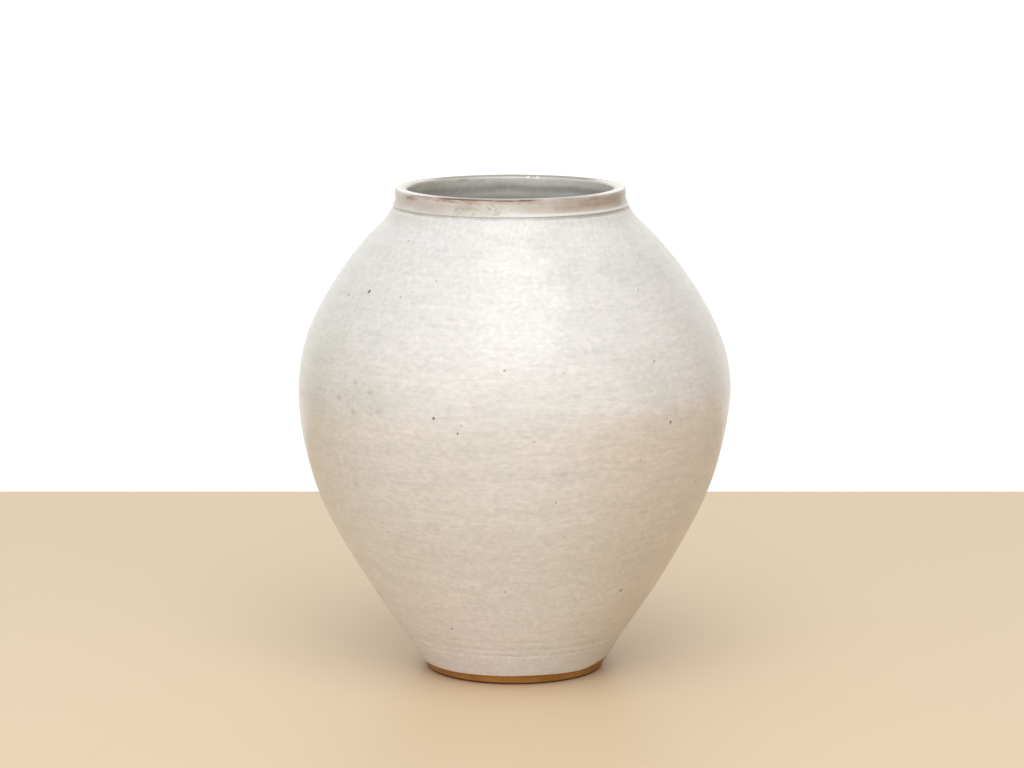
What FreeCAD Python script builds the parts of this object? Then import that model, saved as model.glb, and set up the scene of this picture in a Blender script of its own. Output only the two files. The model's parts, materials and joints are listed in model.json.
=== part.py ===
import FreeCAD, Part
import math
import os

# Moon jar: a tall, tapered stoneware jar under a milky white glaze.
# Lengths are millimetres. The jar stands on z = 0 and its axis is the Z axis.
# Every piece is a half section in the XZ plane, turned once round that axis.
# Sizes of the outside are taken over the glaze, and the clay lies under it.

# Whole jar
jar_height = 250.0              # table to the crest of the lip
belly_radius = 111.2            # widest line of the body
belly_height = 146.0            # widest line above the table

# Foot
foot_height = 5.0               # bare clay between the table and the glaze
foot_base_radius = 45.3         # where the foot meets the table
foot_flare = 1.9                # gain in radius from the table to the glaze
foot_rest_width = 8.5           # width of the ring at the table
foot_bevel = 0.7                # both edges of the resting face
recess_lean = 1.5               # lean of the recess wall towards the axis
recess_crown = 1.2              # rise of the recess ceiling at the axis

# Body walls
skirt_overhang = 1.1            # how far the glaze edge stands out from the foot
floor_thickness = 8.0           # clay between the recess and the inside
floor_flat_radius = 27.0        # level middle of the inside floor
foot_wall = 7.2                 # clay wall low in the jar
belly_wall = 5.4                # clay wall at the widest line
shoulder_wall = 5.6             # clay wall under the collar

# Mouth and collar
mouth_radius = 53.0             # bore of the mouth over the glaze
mouth_land = 7.5                # straight height of the bore
collar_wall = 6.0               # glazed thickness of the collar
collar_height = 9.5             # groove to the crest of the lip
lip_outer_round = 1.3
lip_inner_round = 1.7
flare_height = 3.4              # rise of the hollow flare at the collar's base
flare_overhang = 1.4            # its foot stands out from the collar wall
flare_hollow = 0.3              # depth of its curve at mid height
groove_depth = 0.5              # scored line between the collar and the shoulder
groove_half_width = 0.8
shoulder_ledge = 1.7            # top of the shoulder outside the collar wall

# Waist seam
seam_thickness = 1.0            # luting slip between the two rims
seam_angle = 30.0               # bevel of the rims, in degrees
seam_chamfer_depth = 1.4        # rims cut back on the inside, filled with slip
seam_chamfer_half_width = 4.5
seam_bead_height = 1.0          # slip that stands out on the inside
seam_bead_half_width = 4.0

# Glaze
glaze_thickness = 0.5
glaze_edge_rise = 0.6           # slope of the coat's lower edge

# Outline of the lower body, from the glaze edge to the widest line:
# shares of the rise, then of the gain in radius
lower_outline_shares = (
    (0.0, 0.0),
    (0.071, 0.099),
    (0.213, 0.313),
    (0.426, 0.606),
    (0.603, 0.808),
    (0.745, 0.914),
    (0.887, 0.979),
)

# Outline of the upper body, from the widest line to the collar:
# shares of the rise, then of the loss of radius
upper_outline_shares = (
    (0.0, 0.0),
    (0.149, 0.024),
    (0.309, 0.109),
    (0.468, 0.251),
    (0.628, 0.434),
    (0.787, 0.659),
    (0.872, 0.800),
    (0.947, 0.939),
    (1.0, 1.0),
)

# Where the inside wall is set off from the outside, as shares along the outline
inside_station_shares = (0.12, 0.22, 0.32, 0.42, 0.52, 0.62, 0.72, 0.82, 0.92)

# Fullness of the bends at the floor and the throat, as a share of their length
bend_reach_share = 0.4

# The clay's own surface is set off at this many points of the outline
clay_stations = 40

# Cutting shapes run this far past what they cut
overrun = 3.0

# Sizes worked out from the ones above
foot_top_radius = foot_base_radius + foot_flare
skirt_radius = foot_top_radius + skirt_overhang
recess_radius = foot_base_radius - foot_rest_width
recess_top_radius = recess_radius - recess_lean
floor_height = foot_height + recess_crown + floor_thickness
collar_radius = mouth_radius + collar_wall
crest_radius = mouth_radius + collar_wall / 2
land_base_height = jar_height - lip_inner_round - mouth_land
groove_height = jar_height - collar_height
flare_foot_height = groove_height + groove_half_width
flare_top_height = flare_foot_height + flare_height
flare_foot_radius = collar_radius + flare_overhang
shoulder_height = groove_height - groove_half_width
shoulder_radius = collar_radius + shoulder_ledge
inside_belly_radius = belly_radius - glaze_thickness - belly_wall

ORIGIN = FreeCAD.Vector(0, 0, 0)
UP = FreeCAD.Vector(0, 0, 1)
OUT = FreeCAD.Vector(1, 0, 0)
FULL_TURN = math.degrees(math.tau)


def at(radius, height):
    """A point of the half section."""
    return FreeCAD.Vector(radius, 0, height)


def line(start, end):
    return Part.LineSegment(start, end).toShape()


def arc(start, middle, end):
    return Part.Arc(start, middle, end).toShape()


def quarter_round(start, corner, end):
    """The round that takes off a square corner."""
    centre = start + end - corner
    to_corner = (corner - centre).normalize()
    return arc(start, centre + to_corner * (start - centre).Length, end)


def eased(start, start_direction, end, end_direction):
    """A smooth bend that takes up the direction of what lies at each end."""
    reach = start.distanceToPoint(end) * bend_reach_share
    curve = Part.BezierCurve()
    curve.setPoles([start, start + start_direction * reach, end - end_direction * reach, end])
    return curve.toShape()


def dome(edge_point, apex):
    """Half of a shallow dome, from its edge to its apex on the axis."""
    rise = apex.z - edge_point.z
    radius = (edge_point.x ** 2 + rise ** 2) / (2 * rise)
    half_way = edge_point.x / 2
    drop = radius - math.sqrt(radius ** 2 - half_way ** 2)
    return arc(edge_point, at(half_way, apex.z - drop), apex)


def section(edges):
    """A face of the half section, from edges that close on themselves."""
    return Part.Face(Part.Wire(edges))


def polygon(corners):
    return Part.Face(Part.makePolygon(corners + corners[:1]))


def turned(face):
    """The solid that a face of the half section sweeps round the axis."""
    return face.Faces[0].revolve(ORIGIN, UP, FULL_TURN)


def parameter_at(curve, height):
    """Where a rising curve of the half section passes a height."""
    level = Part.Line(at(0, height), at(belly_radius, height))
    crossing = curve.intersectCC(level)[0]
    return curve.parameter(FreeCAD.Vector(crossing.X, crossing.Y, crossing.Z))


def inward(curve, parameter, distance):
    """The point that lies square to a rising curve, towards the axis."""
    tangent = curve.tangent(parameter)[0]
    return curve.value(parameter) + at(-tangent.z, tangent.x) * distance


def body_curve():
    """The outside of the body over the glaze, from the skirt to the collar."""
    rise = belly_height - foot_height
    gain = belly_radius - skirt_radius
    points = [
        at(skirt_radius + gain * out, foot_height + rise * up)
        for up, out in lower_outline_shares
    ]
    rise = shoulder_height - belly_height
    loss = belly_radius - shoulder_radius
    points += [
        at(belly_radius - loss * drop, belly_height + rise * up)
        for up, drop in upper_outline_shares
    ]
    curve = Part.BSplineCurve()
    curve.interpolate(Points=points)
    return curve


def clay_curve():
    """The clay under the glaze of the body, over the same stretch."""
    outside = body_curve()
    first = outside.FirstParameter
    step = (outside.LastParameter - first) / clay_stations
    slope = outside.tangent(first)[0].z
    points = [at(skirt_radius - glaze_thickness / slope, foot_height)]
    points += [
        inward(outside, first + step * count, glaze_thickness)
        for count in range(1, clay_stations + 1)
    ]
    curve = Part.BSplineCurve()
    curve.interpolate(Points=points)
    return curve


def wall_at(height):
    """The clay wall's thickness at a height of the outside."""
    if height < belly_height:
        share = (height - foot_height) / (belly_height - foot_height)
        return foot_wall + (belly_wall - foot_wall) * share
    share = (height - belly_height) / (shoulder_height - belly_height)
    return belly_wall + (shoulder_wall - belly_wall) * share


def wall_curve(cover):
    """The inside of the wall, over the stretch that follows the outside.

    The cover is the depth under the inside glaze: none for the glaze itself.
    """
    outside = body_curve()
    first = outside.FirstParameter
    span = outside.LastParameter - first
    points = []
    for share in inside_station_shares:
        parameter = first + span * share
        wall = wall_at(outside.value(parameter).z) + glaze_thickness * 2
        points.append(inward(outside, parameter, wall - cover))
    curve = Part.BSplineCurve()
    curve.interpolate(Points=points)
    return curve


def collar_outline(start, cover):
    """The outside of the collar, from the shoulder's end to the lip's crest."""
    groove = at(flare_foot_radius - groove_depth - cover, groove_height)
    flare_foot = at(flare_foot_radius - cover, flare_foot_height)
    flare_top = at(collar_radius - cover, flare_top_height)
    flare_middle = (flare_foot + flare_top) / 2 - OUT * flare_hollow
    round_foot = at(collar_radius - cover, jar_height - lip_outer_round)
    corner = at(collar_radius - cover, jar_height - cover)
    round_top = at(collar_radius - lip_outer_round, jar_height - cover)
    return [
        arc(start, groove, flare_foot),
        arc(flare_foot, flare_middle, flare_top),
        line(flare_top, round_foot),
        quarter_round(round_foot, corner, round_top),
        line(round_top, at(crest_radius, jar_height - cover)),
    ]


def inner_outline(cover):
    """The inside, from the lip's crest down the wall and over the floor."""
    crest = at(crest_radius, jar_height - cover)
    round_top = at(mouth_radius + lip_inner_round, jar_height - cover)
    corner = at(mouth_radius + cover, jar_height - cover)
    round_foot = at(mouth_radius + cover, jar_height - lip_inner_round)
    land_base = at(mouth_radius + cover, land_base_height)
    wall = wall_curve(cover)
    wall_top = wall.tangent(wall.LastParameter)[0]
    wall_foot = wall.tangent(wall.FirstParameter)[0]
    bead_top = parameter_at(wall, belly_height + seam_bead_half_width)
    bead_foot = parameter_at(wall, belly_height - seam_bead_half_width)
    bead_crest = wall.value(parameter_at(wall, belly_height)) - OUT * seam_bead_height
    floor_edge = at(floor_flat_radius, floor_height + glaze_thickness - cover)
    return [
        line(crest, round_top),
        quarter_round(round_top, corner, round_foot),
        line(round_foot, land_base),
        eased(wall.EndPoint, wall_top, land_base, UP),
        wall.toShape(bead_top, wall.LastParameter),
        arc(wall.value(bead_top), bead_crest, wall.value(bead_foot)),
        wall.toShape(wall.FirstParameter, bead_foot),
        eased(floor_edge, OUT, wall.StartPoint, wall_foot),
        line(floor_edge, at(0, floor_edge.z)),
    ]


def clay_section():
    """The clay of both bowls, the seam and the collar, as one half section."""
    outside = clay_curve()
    seat_edge = at(recess_top_radius, foot_height)
    recess_apex = at(0, foot_height + recess_crown)
    edges = [outside.toShape()]
    edges += collar_outline(outside.EndPoint, glaze_thickness)
    edges += inner_outline(glaze_thickness)
    edges.append(line(at(0, floor_height), recess_apex))
    edges.append(dome(seat_edge, recess_apex))
    edges.append(line(seat_edge, outside.StartPoint))
    return section(edges)


def seam_zone():
    """A slanting band between the rims that widens to a chamfer inside."""
    fall = math.tan(math.radians(seam_angle))
    half = seam_thickness / 2 / math.cos(math.radians(seam_angle))
    outer_radius = belly_radius + overrun
    outer_height = belly_height - (outer_radius - inside_belly_radius) * fall
    throat_radius = inside_belly_radius + seam_chamfer_depth
    throat_height = belly_height - seam_chamfer_depth * fall
    inner_radius = inside_belly_radius - overrun
    reach = 1 + overrun / seam_chamfer_depth
    upper_gain = belly_height + seam_chamfer_half_width - throat_height - half
    lower_gain = throat_height - half - belly_height + seam_chamfer_half_width
    return polygon([
        at(outer_radius, outer_height - half),
        at(outer_radius, outer_height + half),
        at(throat_radius, throat_height + half),
        at(inner_radius, throat_height + half + upper_gain * reach),
        at(inner_radius, throat_height - half - lower_gain * reach),
        at(throat_radius, throat_height - half),
    ])


def above(height):
    """Everything of the half section over a height."""
    top = jar_height + overrun
    reach = belly_radius + overrun
    return polygon([at(0, height), at(reach, height), at(reach, top), at(0, top)])


def foot_ring():
    """The turned foot: bare clay, beveled where it meets the table."""
    outer_lean = foot_flare * foot_bevel / foot_height
    inner_lean = recess_lean * foot_bevel / foot_height
    return turned(polygon([
        at(foot_base_radius - foot_bevel, 0),
        at(foot_base_radius + outer_lean, foot_bevel),
        at(foot_top_radius, foot_height),
        at(recess_top_radius, foot_height),
        at(recess_radius - inner_lean, foot_bevel),
        at(recess_radius + foot_bevel, 0),
    ]))


def mouth_collar(clay):
    """The collar, which sits on the upper bowl along the scored line."""
    return turned(clay.common(above(groove_height)))


def waist_seam(clay):
    """The slip between the two rims, with its bead on the inside."""
    return turned(clay.common(seam_zone()))


def bowls(clay):
    """The lower and the upper bowl: the clay without the collar and the seam."""
    walls = clay.cut(above(groove_height)).cut(seam_zone())
    lower, upper = sorted(walls.Faces, key=lambda face: face.CenterOfMass.z)
    return turned(lower), turned(upper)


def outer_glaze():
    """The outside coat, from just over the foot to the crest of the lip."""
    coat = body_curve()
    under = clay_curve()
    coat_start = parameter_at(coat, foot_height + glaze_edge_rise)
    edges = [coat.toShape(coat_start, coat.LastParameter)]
    edges += collar_outline(coat.EndPoint, 0)
    edges.append(line(at(crest_radius, jar_height), at(crest_radius, jar_height - glaze_thickness)))
    edges += reversed(collar_outline(under.EndPoint, glaze_thickness))
    edges.append(under.toShape())
    edges.append(line(under.StartPoint, coat.value(coat_start)))
    return turned(section(edges))


def inner_glaze():
    """The liner coat, from the crest of the lip down over the floor."""
    edges = inner_outline(0)
    edges.append(line(at(0, floor_height + glaze_thickness), at(0, floor_height)))
    edges += reversed(inner_outline(glaze_thickness))
    edges.append(line(at(crest_radius, jar_height - glaze_thickness), at(crest_radius, jar_height)))
    return turned(section(edges))


def main():
    clay = clay_section()
    lower_bowl, upper_bowl = bowls(clay)
    pieces = {
        "foot_ring": foot_ring(),
        "lower_bowl": lower_bowl,
        "waist_seam": waist_seam(clay),
        "upper_bowl": upper_bowl,
        "mouth_collar": mouth_collar(clay),
        "outer_glaze": outer_glaze(),
        "inner_glaze": inner_glaze(),
    }
    os.makedirs("parts", exist_ok=True)
    for name, shape in pieces.items():
        shape.exportStep("parts/" + name + ".step")
        print(name, "valid", shape.isValid(), "cubic mm", round(shape.Volume))


main()
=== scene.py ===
"""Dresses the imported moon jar: thrown clay, luting slip and two coats of glaze on a pale table.

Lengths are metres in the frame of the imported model. The jar stands on z = 0 round the Z axis and
the side that faces the camera looks along -Y. An azimuth is an angle in degrees round the jar,
0 at the side that faces the camera and growing towards +X. Colours are linear.
"""

import json
import logging
import math
from collections.abc import Callable, Iterable, Mapping, Sequence
from dataclasses import dataclass
from enum import Enum
from functools import cached_property
from typing import Any, ClassVar, Optional, Union

import bmesh
import bpy
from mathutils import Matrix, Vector, noise
from mathutils.geometry import interpolate_bezier


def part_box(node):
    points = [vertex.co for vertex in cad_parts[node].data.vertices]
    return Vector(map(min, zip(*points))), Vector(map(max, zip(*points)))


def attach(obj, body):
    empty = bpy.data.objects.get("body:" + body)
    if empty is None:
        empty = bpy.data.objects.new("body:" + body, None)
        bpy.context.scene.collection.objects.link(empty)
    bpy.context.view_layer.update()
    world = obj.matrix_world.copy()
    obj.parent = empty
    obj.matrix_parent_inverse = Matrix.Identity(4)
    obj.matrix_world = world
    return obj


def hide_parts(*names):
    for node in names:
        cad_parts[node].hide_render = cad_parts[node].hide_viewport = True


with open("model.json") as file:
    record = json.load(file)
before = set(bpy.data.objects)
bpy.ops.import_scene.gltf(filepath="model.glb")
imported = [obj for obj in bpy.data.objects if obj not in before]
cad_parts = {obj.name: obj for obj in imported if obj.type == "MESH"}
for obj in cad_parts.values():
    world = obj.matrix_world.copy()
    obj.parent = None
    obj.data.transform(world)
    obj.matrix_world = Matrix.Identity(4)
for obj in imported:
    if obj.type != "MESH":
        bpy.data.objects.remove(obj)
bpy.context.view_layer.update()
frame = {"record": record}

log = logging.getLogger("moon_jar")

Colour = tuple[float, float, float]
# Where a mask is 0, and where it is 1
Span = tuple[float, float]
Line = Callable[[float], float]

MM = 0.001
UP = Vector((0.0, 0.0, 1.0))
ORIGIN = Vector((0.0, 0.0, 0.0))


class Slot(Enum):
    """The record's material slots."""

    BARE_CLAY = "bare_clay"
    BODY_CLAY = "body_clay"
    SEAM_CLAY = "seam_clay"
    OUTER_GLAZE = "outer_glaze"
    INNER_GLAZE = "inner_glaze"


class Laid(Enum):
    """How one colour of a finish is laid on another."""

    OVER = "MIX"
    AS_STAIN = "MULTIPLY"


def between(low: float, high: float, share: float) -> float:
    """The value a share of the way from low to high."""
    return low + (high - low) * share


def eased(share: float) -> float:
    """A share held between 0 and 1 and made smooth at both ends."""
    held = min(1.0, max(0.0, share))
    return held * held * (3.0 - 2.0 * held)


def round_the_jar(azimuth: float, radius: float, height: float) -> Vector:
    """The point at an azimuth, a radius and a height."""
    turn = math.radians(azimuth)
    return Vector((radius * math.sin(turn), -radius * math.cos(turn), height))


@dataclass(frozen=True)
class SmoothLine:
    """A smooth line through a few points, read by height.

    Attributes:
        points: heights and values, from the lowest height up.
    """

    points: tuple[tuple[float, float], ...]

    def _steepness(self, index: int) -> float:
        """The line's slope at one of its points.

        Args:
            index: which point.

        Returns:
            The slope there, from the runs on both sides.
        """
        low = self.points[max(index - 1, 0)]
        here = self.points[index]
        high = self.points[min(index + 1, len(self.points) - 1)]
        if low is here or high is here:
            return (high[1] - low[1]) / (high[0] - low[0])
        below = (here[1] - low[1]) / (here[0] - low[0])
        above = (high[1] - here[1]) / (high[0] - here[0])
        share = (here[0] - low[0]) / (high[0] - low[0])
        return between(below, above, share)

    def value(self, height: float) -> float:
        """The line's value at a height.

        Args:
            height: where the line is read. Past its ends it keeps its last value.

        Returns:
            The value there.
        """
        if height <= self.points[0][0]:
            return self.points[0][1]
        for index, (low, high) in enumerate(zip(self.points, self.points[1:])):
            if height > high[0]:
                continue
            span = high[0] - low[0]
            share = (height - low[0]) / span
            rest = 1.0 - share
            leaving = self._steepness(index) * span
            arriving = self._steepness(index + 1) * span
            blend = eased(share)
            return (
                between(low[1], high[1], blend)
                + leaving * share * rest * rest
                - arriving * share * share * rest
            )
        return self.points[-1][1]

    def slope(self, height: float, step: float = 0.2 * MM) -> float:
        """The line's slope at a height, read over a short step each way."""
        return (self.value(height + step) - self.value(height - step)) / (2.0 * step)


@dataclass(frozen=True)
class JarForm:
    """The sizes that every piece is made to. The outside is taken over the glaze.

    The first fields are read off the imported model, and the others are the sizes it was built to.
    """

    height: float
    belly_radius: float
    foot_height: float
    foot_top_radius: float
    groove_height: float
    flare_foot_radius: float
    floor_height: float
    mouth_radius: float
    mouth_land: float
    glaze: float = 0.5 * MM
    belly_height: float = 146 * MM
    foot_flare: float = 1.9 * MM
    foot_rest_width: float = 8.5 * MM
    recess_lean: float = 1.5 * MM
    recess_crown: float = 1.2 * MM
    skirt_overhang: float = 1.1 * MM
    floor_flat_radius: float = 27 * MM
    floor_bend_height: float = 14 * MM
    foot_wall: float = 7.2 * MM
    belly_wall: float = 5.4 * MM
    shoulder_wall: float = 5.6 * MM
    collar_wall: float = 6 * MM
    lip_outer_round: float = 1.3 * MM
    lip_inner_round: float = 1.7 * MM
    flare_height: float = 3.4 * MM
    flare_overhang: float = 1.4 * MM
    flare_hollow: float = 0.3 * MM
    groove_depth: float = 0.5 * MM
    groove_half_width: float = 0.8 * MM
    shoulder_ledge: float = 1.7 * MM
    throat_height: float = 15 * MM
    seam_bead_height: float = 1 * MM
    seam_bead_half_width: float = 4 * MM
    # Shares of the rise, then of the gain in radius, from the skirt to the widest line
    lower_outline: tuple[tuple[float, float], ...] = (
        (0.0, 0.0),
        (0.071, 0.099),
        (0.213, 0.313),
        (0.426, 0.606),
        (0.603, 0.808),
        (0.745, 0.914),
        (0.887, 0.979),
    )
    # Shares of the rise, then of the loss of radius, from the widest line to the collar
    upper_outline: tuple[tuple[float, float], ...] = (
        (0.0, 0.0),
        (0.149, 0.024),
        (0.309, 0.109),
        (0.468, 0.251),
        (0.628, 0.434),
        (0.787, 0.659),
        (0.872, 0.800),
        (0.947, 0.939),
        (1.0, 1.0),
    )

    @classmethod
    def from_frame(cls) -> "JarForm":
        """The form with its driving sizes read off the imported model.

        Returns:
            The form.
        """
        coat_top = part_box("outer_glaze")[1]
        foot_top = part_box("foot_ring")[1]
        collar_low, collar_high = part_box("mouth_collar")
        bore = next(m for m in frame["record"]["mounts"] if m["name"] == "mouth_bore")
        return cls(
            height=coat_top.z,
            belly_radius=coat_top.x,
            foot_height=foot_top.z,
            foot_top_radius=foot_top.x,
            groove_height=collar_low.z,
            flare_foot_radius=collar_high.x + cls.glaze,
            floor_height=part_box("inner_glaze")[0].z,
            mouth_radius=bore["dims"]["r_mm"] * MM,
            mouth_land=bore["dims"]["length_mm"] * MM,
        )

    @property
    def skirt_radius(self) -> float:
        """Radius of the glaze's lower edge."""
        return self.foot_top_radius + self.skirt_overhang

    @property
    def collar_radius(self) -> float:
        """Outer radius of the collar's straight wall."""
        return self.mouth_radius + self.collar_wall

    @property
    def crest_radius(self) -> float:
        """Radius of the top of the lip, where the two coats meet."""
        return self.mouth_radius + self.collar_wall / 2.0

    @property
    def shoulder_height(self) -> float:
        """Where the shoulder ends at the scored line."""
        return self.groove_height - self.groove_half_width

    @property
    def flare_foot_height(self) -> float:
        """Where the collar's hollow flare starts."""
        return self.groove_height + self.groove_half_width

    @property
    def flare_top_height(self) -> float:
        """Where the flare runs out into the collar's wall."""
        return self.flare_foot_height + self.flare_height

    @property
    def land_base_height(self) -> float:
        """Where the mouth's straight bore starts."""
        return self.height - self.lip_inner_round - self.mouth_land

    @property
    def recess_top_radius(self) -> float:
        """Radius of the ceiling of the hollow under the foot."""
        base = self.foot_top_radius - self.foot_flare
        return base - self.foot_rest_width - self.recess_lean

    @cached_property
    def body(self) -> SmoothLine:
        """The outside of the body, from the skirt to the collar.

        Returns:
            Its radius as a line, read by height.
        """
        gain = self.belly_radius - self.skirt_radius
        loss = self.belly_radius - self.collar_radius - self.shoulder_ledge
        lower = tuple(
            (between(self.foot_height, self.belly_height, up), self.skirt_radius + gain * out)
            for up, out in self.lower_outline
        )
        upper = tuple(
            (between(self.belly_height, self.shoulder_height, up), self.belly_radius - loss * drop)
            for up, drop in self.upper_outline
        )
        return SmoothLine(lower + upper)

    def outside(self, height: float, depth: float = 0.0) -> float:
        """The radius of the outside.

        Args:
            height: where it is taken.
            depth: how deep under the glaze's own surface.

        Returns:
            The radius there.
        """
        if height <= self.shoulder_height:
            return self.body.value(height) - depth * math.hypot(1.0, self.body.slope(height))
        if height <= self.flare_foot_height:
            off_line = (height - self.groove_height) / self.groove_half_width
            rim = between(
                self.collar_radius + self.shoulder_ledge, self.flare_foot_radius, (off_line + 1.0) / 2.0
            )
            return rim - depth - self.groove_depth * (1.0 - off_line * off_line)
        if height <= self.flare_top_height:
            share = (height - self.flare_foot_height) / self.flare_height
            hollow = 4.0 * self.flare_hollow * share * (1.0 - share)
            return self.collar_radius + self.flare_overhang * (1.0 - share) - hollow - depth
        return self.collar_radius - depth

    def wall(self, height: float) -> float:
        """The clay wall's thickness.

        Args:
            height: where it is taken.

        Returns:
            The thickness, square to the wall.
        """
        if height < self.belly_height:
            share = (height - self.foot_height) / (self.belly_height - self.foot_height)
            return between(self.foot_wall, self.belly_wall, share)
        share = (height - self.belly_height) / (self.shoulder_height - self.belly_height)
        return between(self.belly_wall, self.shoulder_wall, share)

    @property
    def wall_foot_height(self) -> float:
        """Where the inside stops bending up from the floor and follows the outside."""
        return self.floor_height + self.floor_bend_height

    @cached_property
    def throat(self) -> SmoothLine:
        """The inside from the shoulder's wall up to the straight bore.

        Returns:
            Its radius as a line, read by height.
        """
        foot = self.land_base_height - self.throat_height
        slope = self.body.slope(foot)
        below = foot - MM
        start = self._wall_radius(foot, 0.0)
        return SmoothLine((
            (below, start - slope * MM),
            (foot, start),
            (self.land_base_height, self.mouth_radius),
            (self.land_base_height + MM, self.mouth_radius),
            (self.height, self.mouth_radius),
        ))

    def _wall_radius(self, height: float, cover: float) -> float:
        """The inside radius where the inside follows the outside, without the seam's bead."""
        thickness = self.wall(height) + 2.0 * self.glaze - cover
        return self.body.value(height) - thickness * math.hypot(1.0, self.body.slope(height))

    def inside(self, height: float, cover: float = 0.0) -> float:
        """The radius of the inside above the bend of the floor.

        Args:
            height: where it is taken.
            cover: how deep under the liner glaze's own surface.

        Returns:
            The radius there.
        """
        if height >= self.land_base_height - self.throat_height:
            return self.throat.value(height) + cover
        off_seam = min(1.0, abs(height - self.belly_height) / self.seam_bead_half_width)
        bead = self.seam_bead_height * (1.0 - eased(off_seam))
        return self._wall_radius(height, cover) - bead

    def clay_outside(self, height: float) -> float:
        """The radius of the clay's outside, under the milk glaze."""
        return self.outside(height, self.glaze)

    def clay_inside(self, height: float) -> float:
        """The radius of the clay's inside, under the liner glaze."""
        return self.inside(height, self.glaze)


@dataclass(frozen=True)
class PottersHand:
    """How far the hand and the kiln moved the round form.

    Every piece is settled by the same rules, so that the pieces stay nested.

    Attributes:
        lean: sideways shift of the axis, by height.
        narrowing: loss of radius across the jar's narrow way, front to back.
        dent: depth of the broad unevenness, and dent_width its size.
        ring_depth: depth of the throwing rings, ring_pitch the rise of one turn, and ring_wander
            how far the rings stray, in turns.
        lip_dip: how much lower the lip lies on one side, and lip_turn the azimuth of that side.
            The dip fades out over lip_reach below lip_height.
        axis_hold: the radius inside which the unevenness fades out.
    """

    lean: SmoothLine = SmoothLine((
        (4 * MM, 0.0),
        (26 * MM, -0.6 * MM),
        (45 * MM, -0.5 * MM),
        (80 * MM, -0.9 * MM),
        (110 * MM, -0.6 * MM),
        (130 * MM, -0.4 * MM),
        (148 * MM, 0.0),
        (158 * MM, 0.0),
        (175 * MM, -0.5 * MM),
        (190 * MM, -0.7 * MM),
        (212 * MM, -1.1 * MM),
        (236 * MM, -1.8 * MM),
        (250 * MM, -2.2 * MM),
    ))
    narrowing: float = 0.4 * MM
    dent: float = 0.2 * MM
    dent_width: float = 60 * MM
    ring_depth: float = 0.06 * MM
    ring_pitch: float = 9 * MM
    ring_wander: float = 0.5
    lip_dip: float = 0.35 * MM
    lip_turn: float = -90.0
    lip_reach: float = 45 * MM
    lip_height: float = 250 * MM
    axis_hold: float = 30 * MM

    def settled(self, point: Vector) -> Vector:
        """Where a point of the round form ends up.

        Args:
            point: its place on the round form.

        Returns:
            Its place on the real jar.
        """
        flat = Vector((point.x, point.y, 0.0))
        radius = flat.length
        azimuth = math.atan2(point.x, -point.y)
        unevenness = noise.noise(point / self.dent_width)
        wander = self.ring_wander * noise.noise(point / self.dent_width + UP)
        ring = math.sin(math.tau * (point.z / self.ring_pitch + wander) - azimuth)
        loss = (
            self.narrowing * (1.0 + math.cos(2.0 * azimuth)) / 2.0
            + self.dent * (1.0 + unevenness) / 2.0
            + self.ring_depth * (1.0 + ring) / 2.0
        )
        side = (1.0 + math.cos(azimuth - math.radians(self.lip_turn))) / 2.0
        drop = self.lip_dip * side * eased(1.0 - (self.lip_height - point.z) / self.lip_reach)
        held = eased(radius / self.axis_hold)
        inward = flat.normalized() * loss * held
        return point - inward - UP * drop + Vector((self.lean.value(point.z), 0.0, 0.0))

    def lip_drop_over(self, nodes: "FinishNodes", place: "Value", radius: float) -> "Value":
        """How far the lip has dropped.

        Args:
            nodes: the nodes of the finish that asks.
            place: the place on the piece.
            radius: the lip's radius.

        Returns:
            The drop there.
        """
        turn = math.radians(self.lip_turn)
        towards = nodes.along("X", place) * math.sin(turn) - nodes.along("Y", place) * math.cos(turn)
        return (towards * (1.0 / radius) + 1.0) * (self.lip_dip / 2.0)


def round_off(
    shape: bmesh.types.BMesh, edges: Sequence[bmesh.types.BMEdge], reach: float, segments: int
) -> None:
    """Rounds edges of a shape.

    Args:
        shape: the shape.
        edges: its edges to round.
        reach: how far the rounding reaches from each edge.
        segments: how many strips it has.
    """
    bmesh.ops.bevel(
        shape,
        geom=edges,
        offset=reach,
        offset_type="OFFSET",
        segments=segments,
        profile=0.5,
        affect="EDGES",
        material=-1,
    )


@dataclass(frozen=True)
class Corner:
    """A corner of a half section that is rounded once the section is thrown."""

    radius: float
    height: float
    reach: float
    segments: int
    slack: float = 0.001 * MM

    def holds(self, place: Vector) -> bool:
        """Whether a place on the thrown shape lies on the corner's ring."""
        off = math.hypot(math.hypot(place.x, place.y) - self.radius, place.z - self.height)
        return off < self.slack


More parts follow.
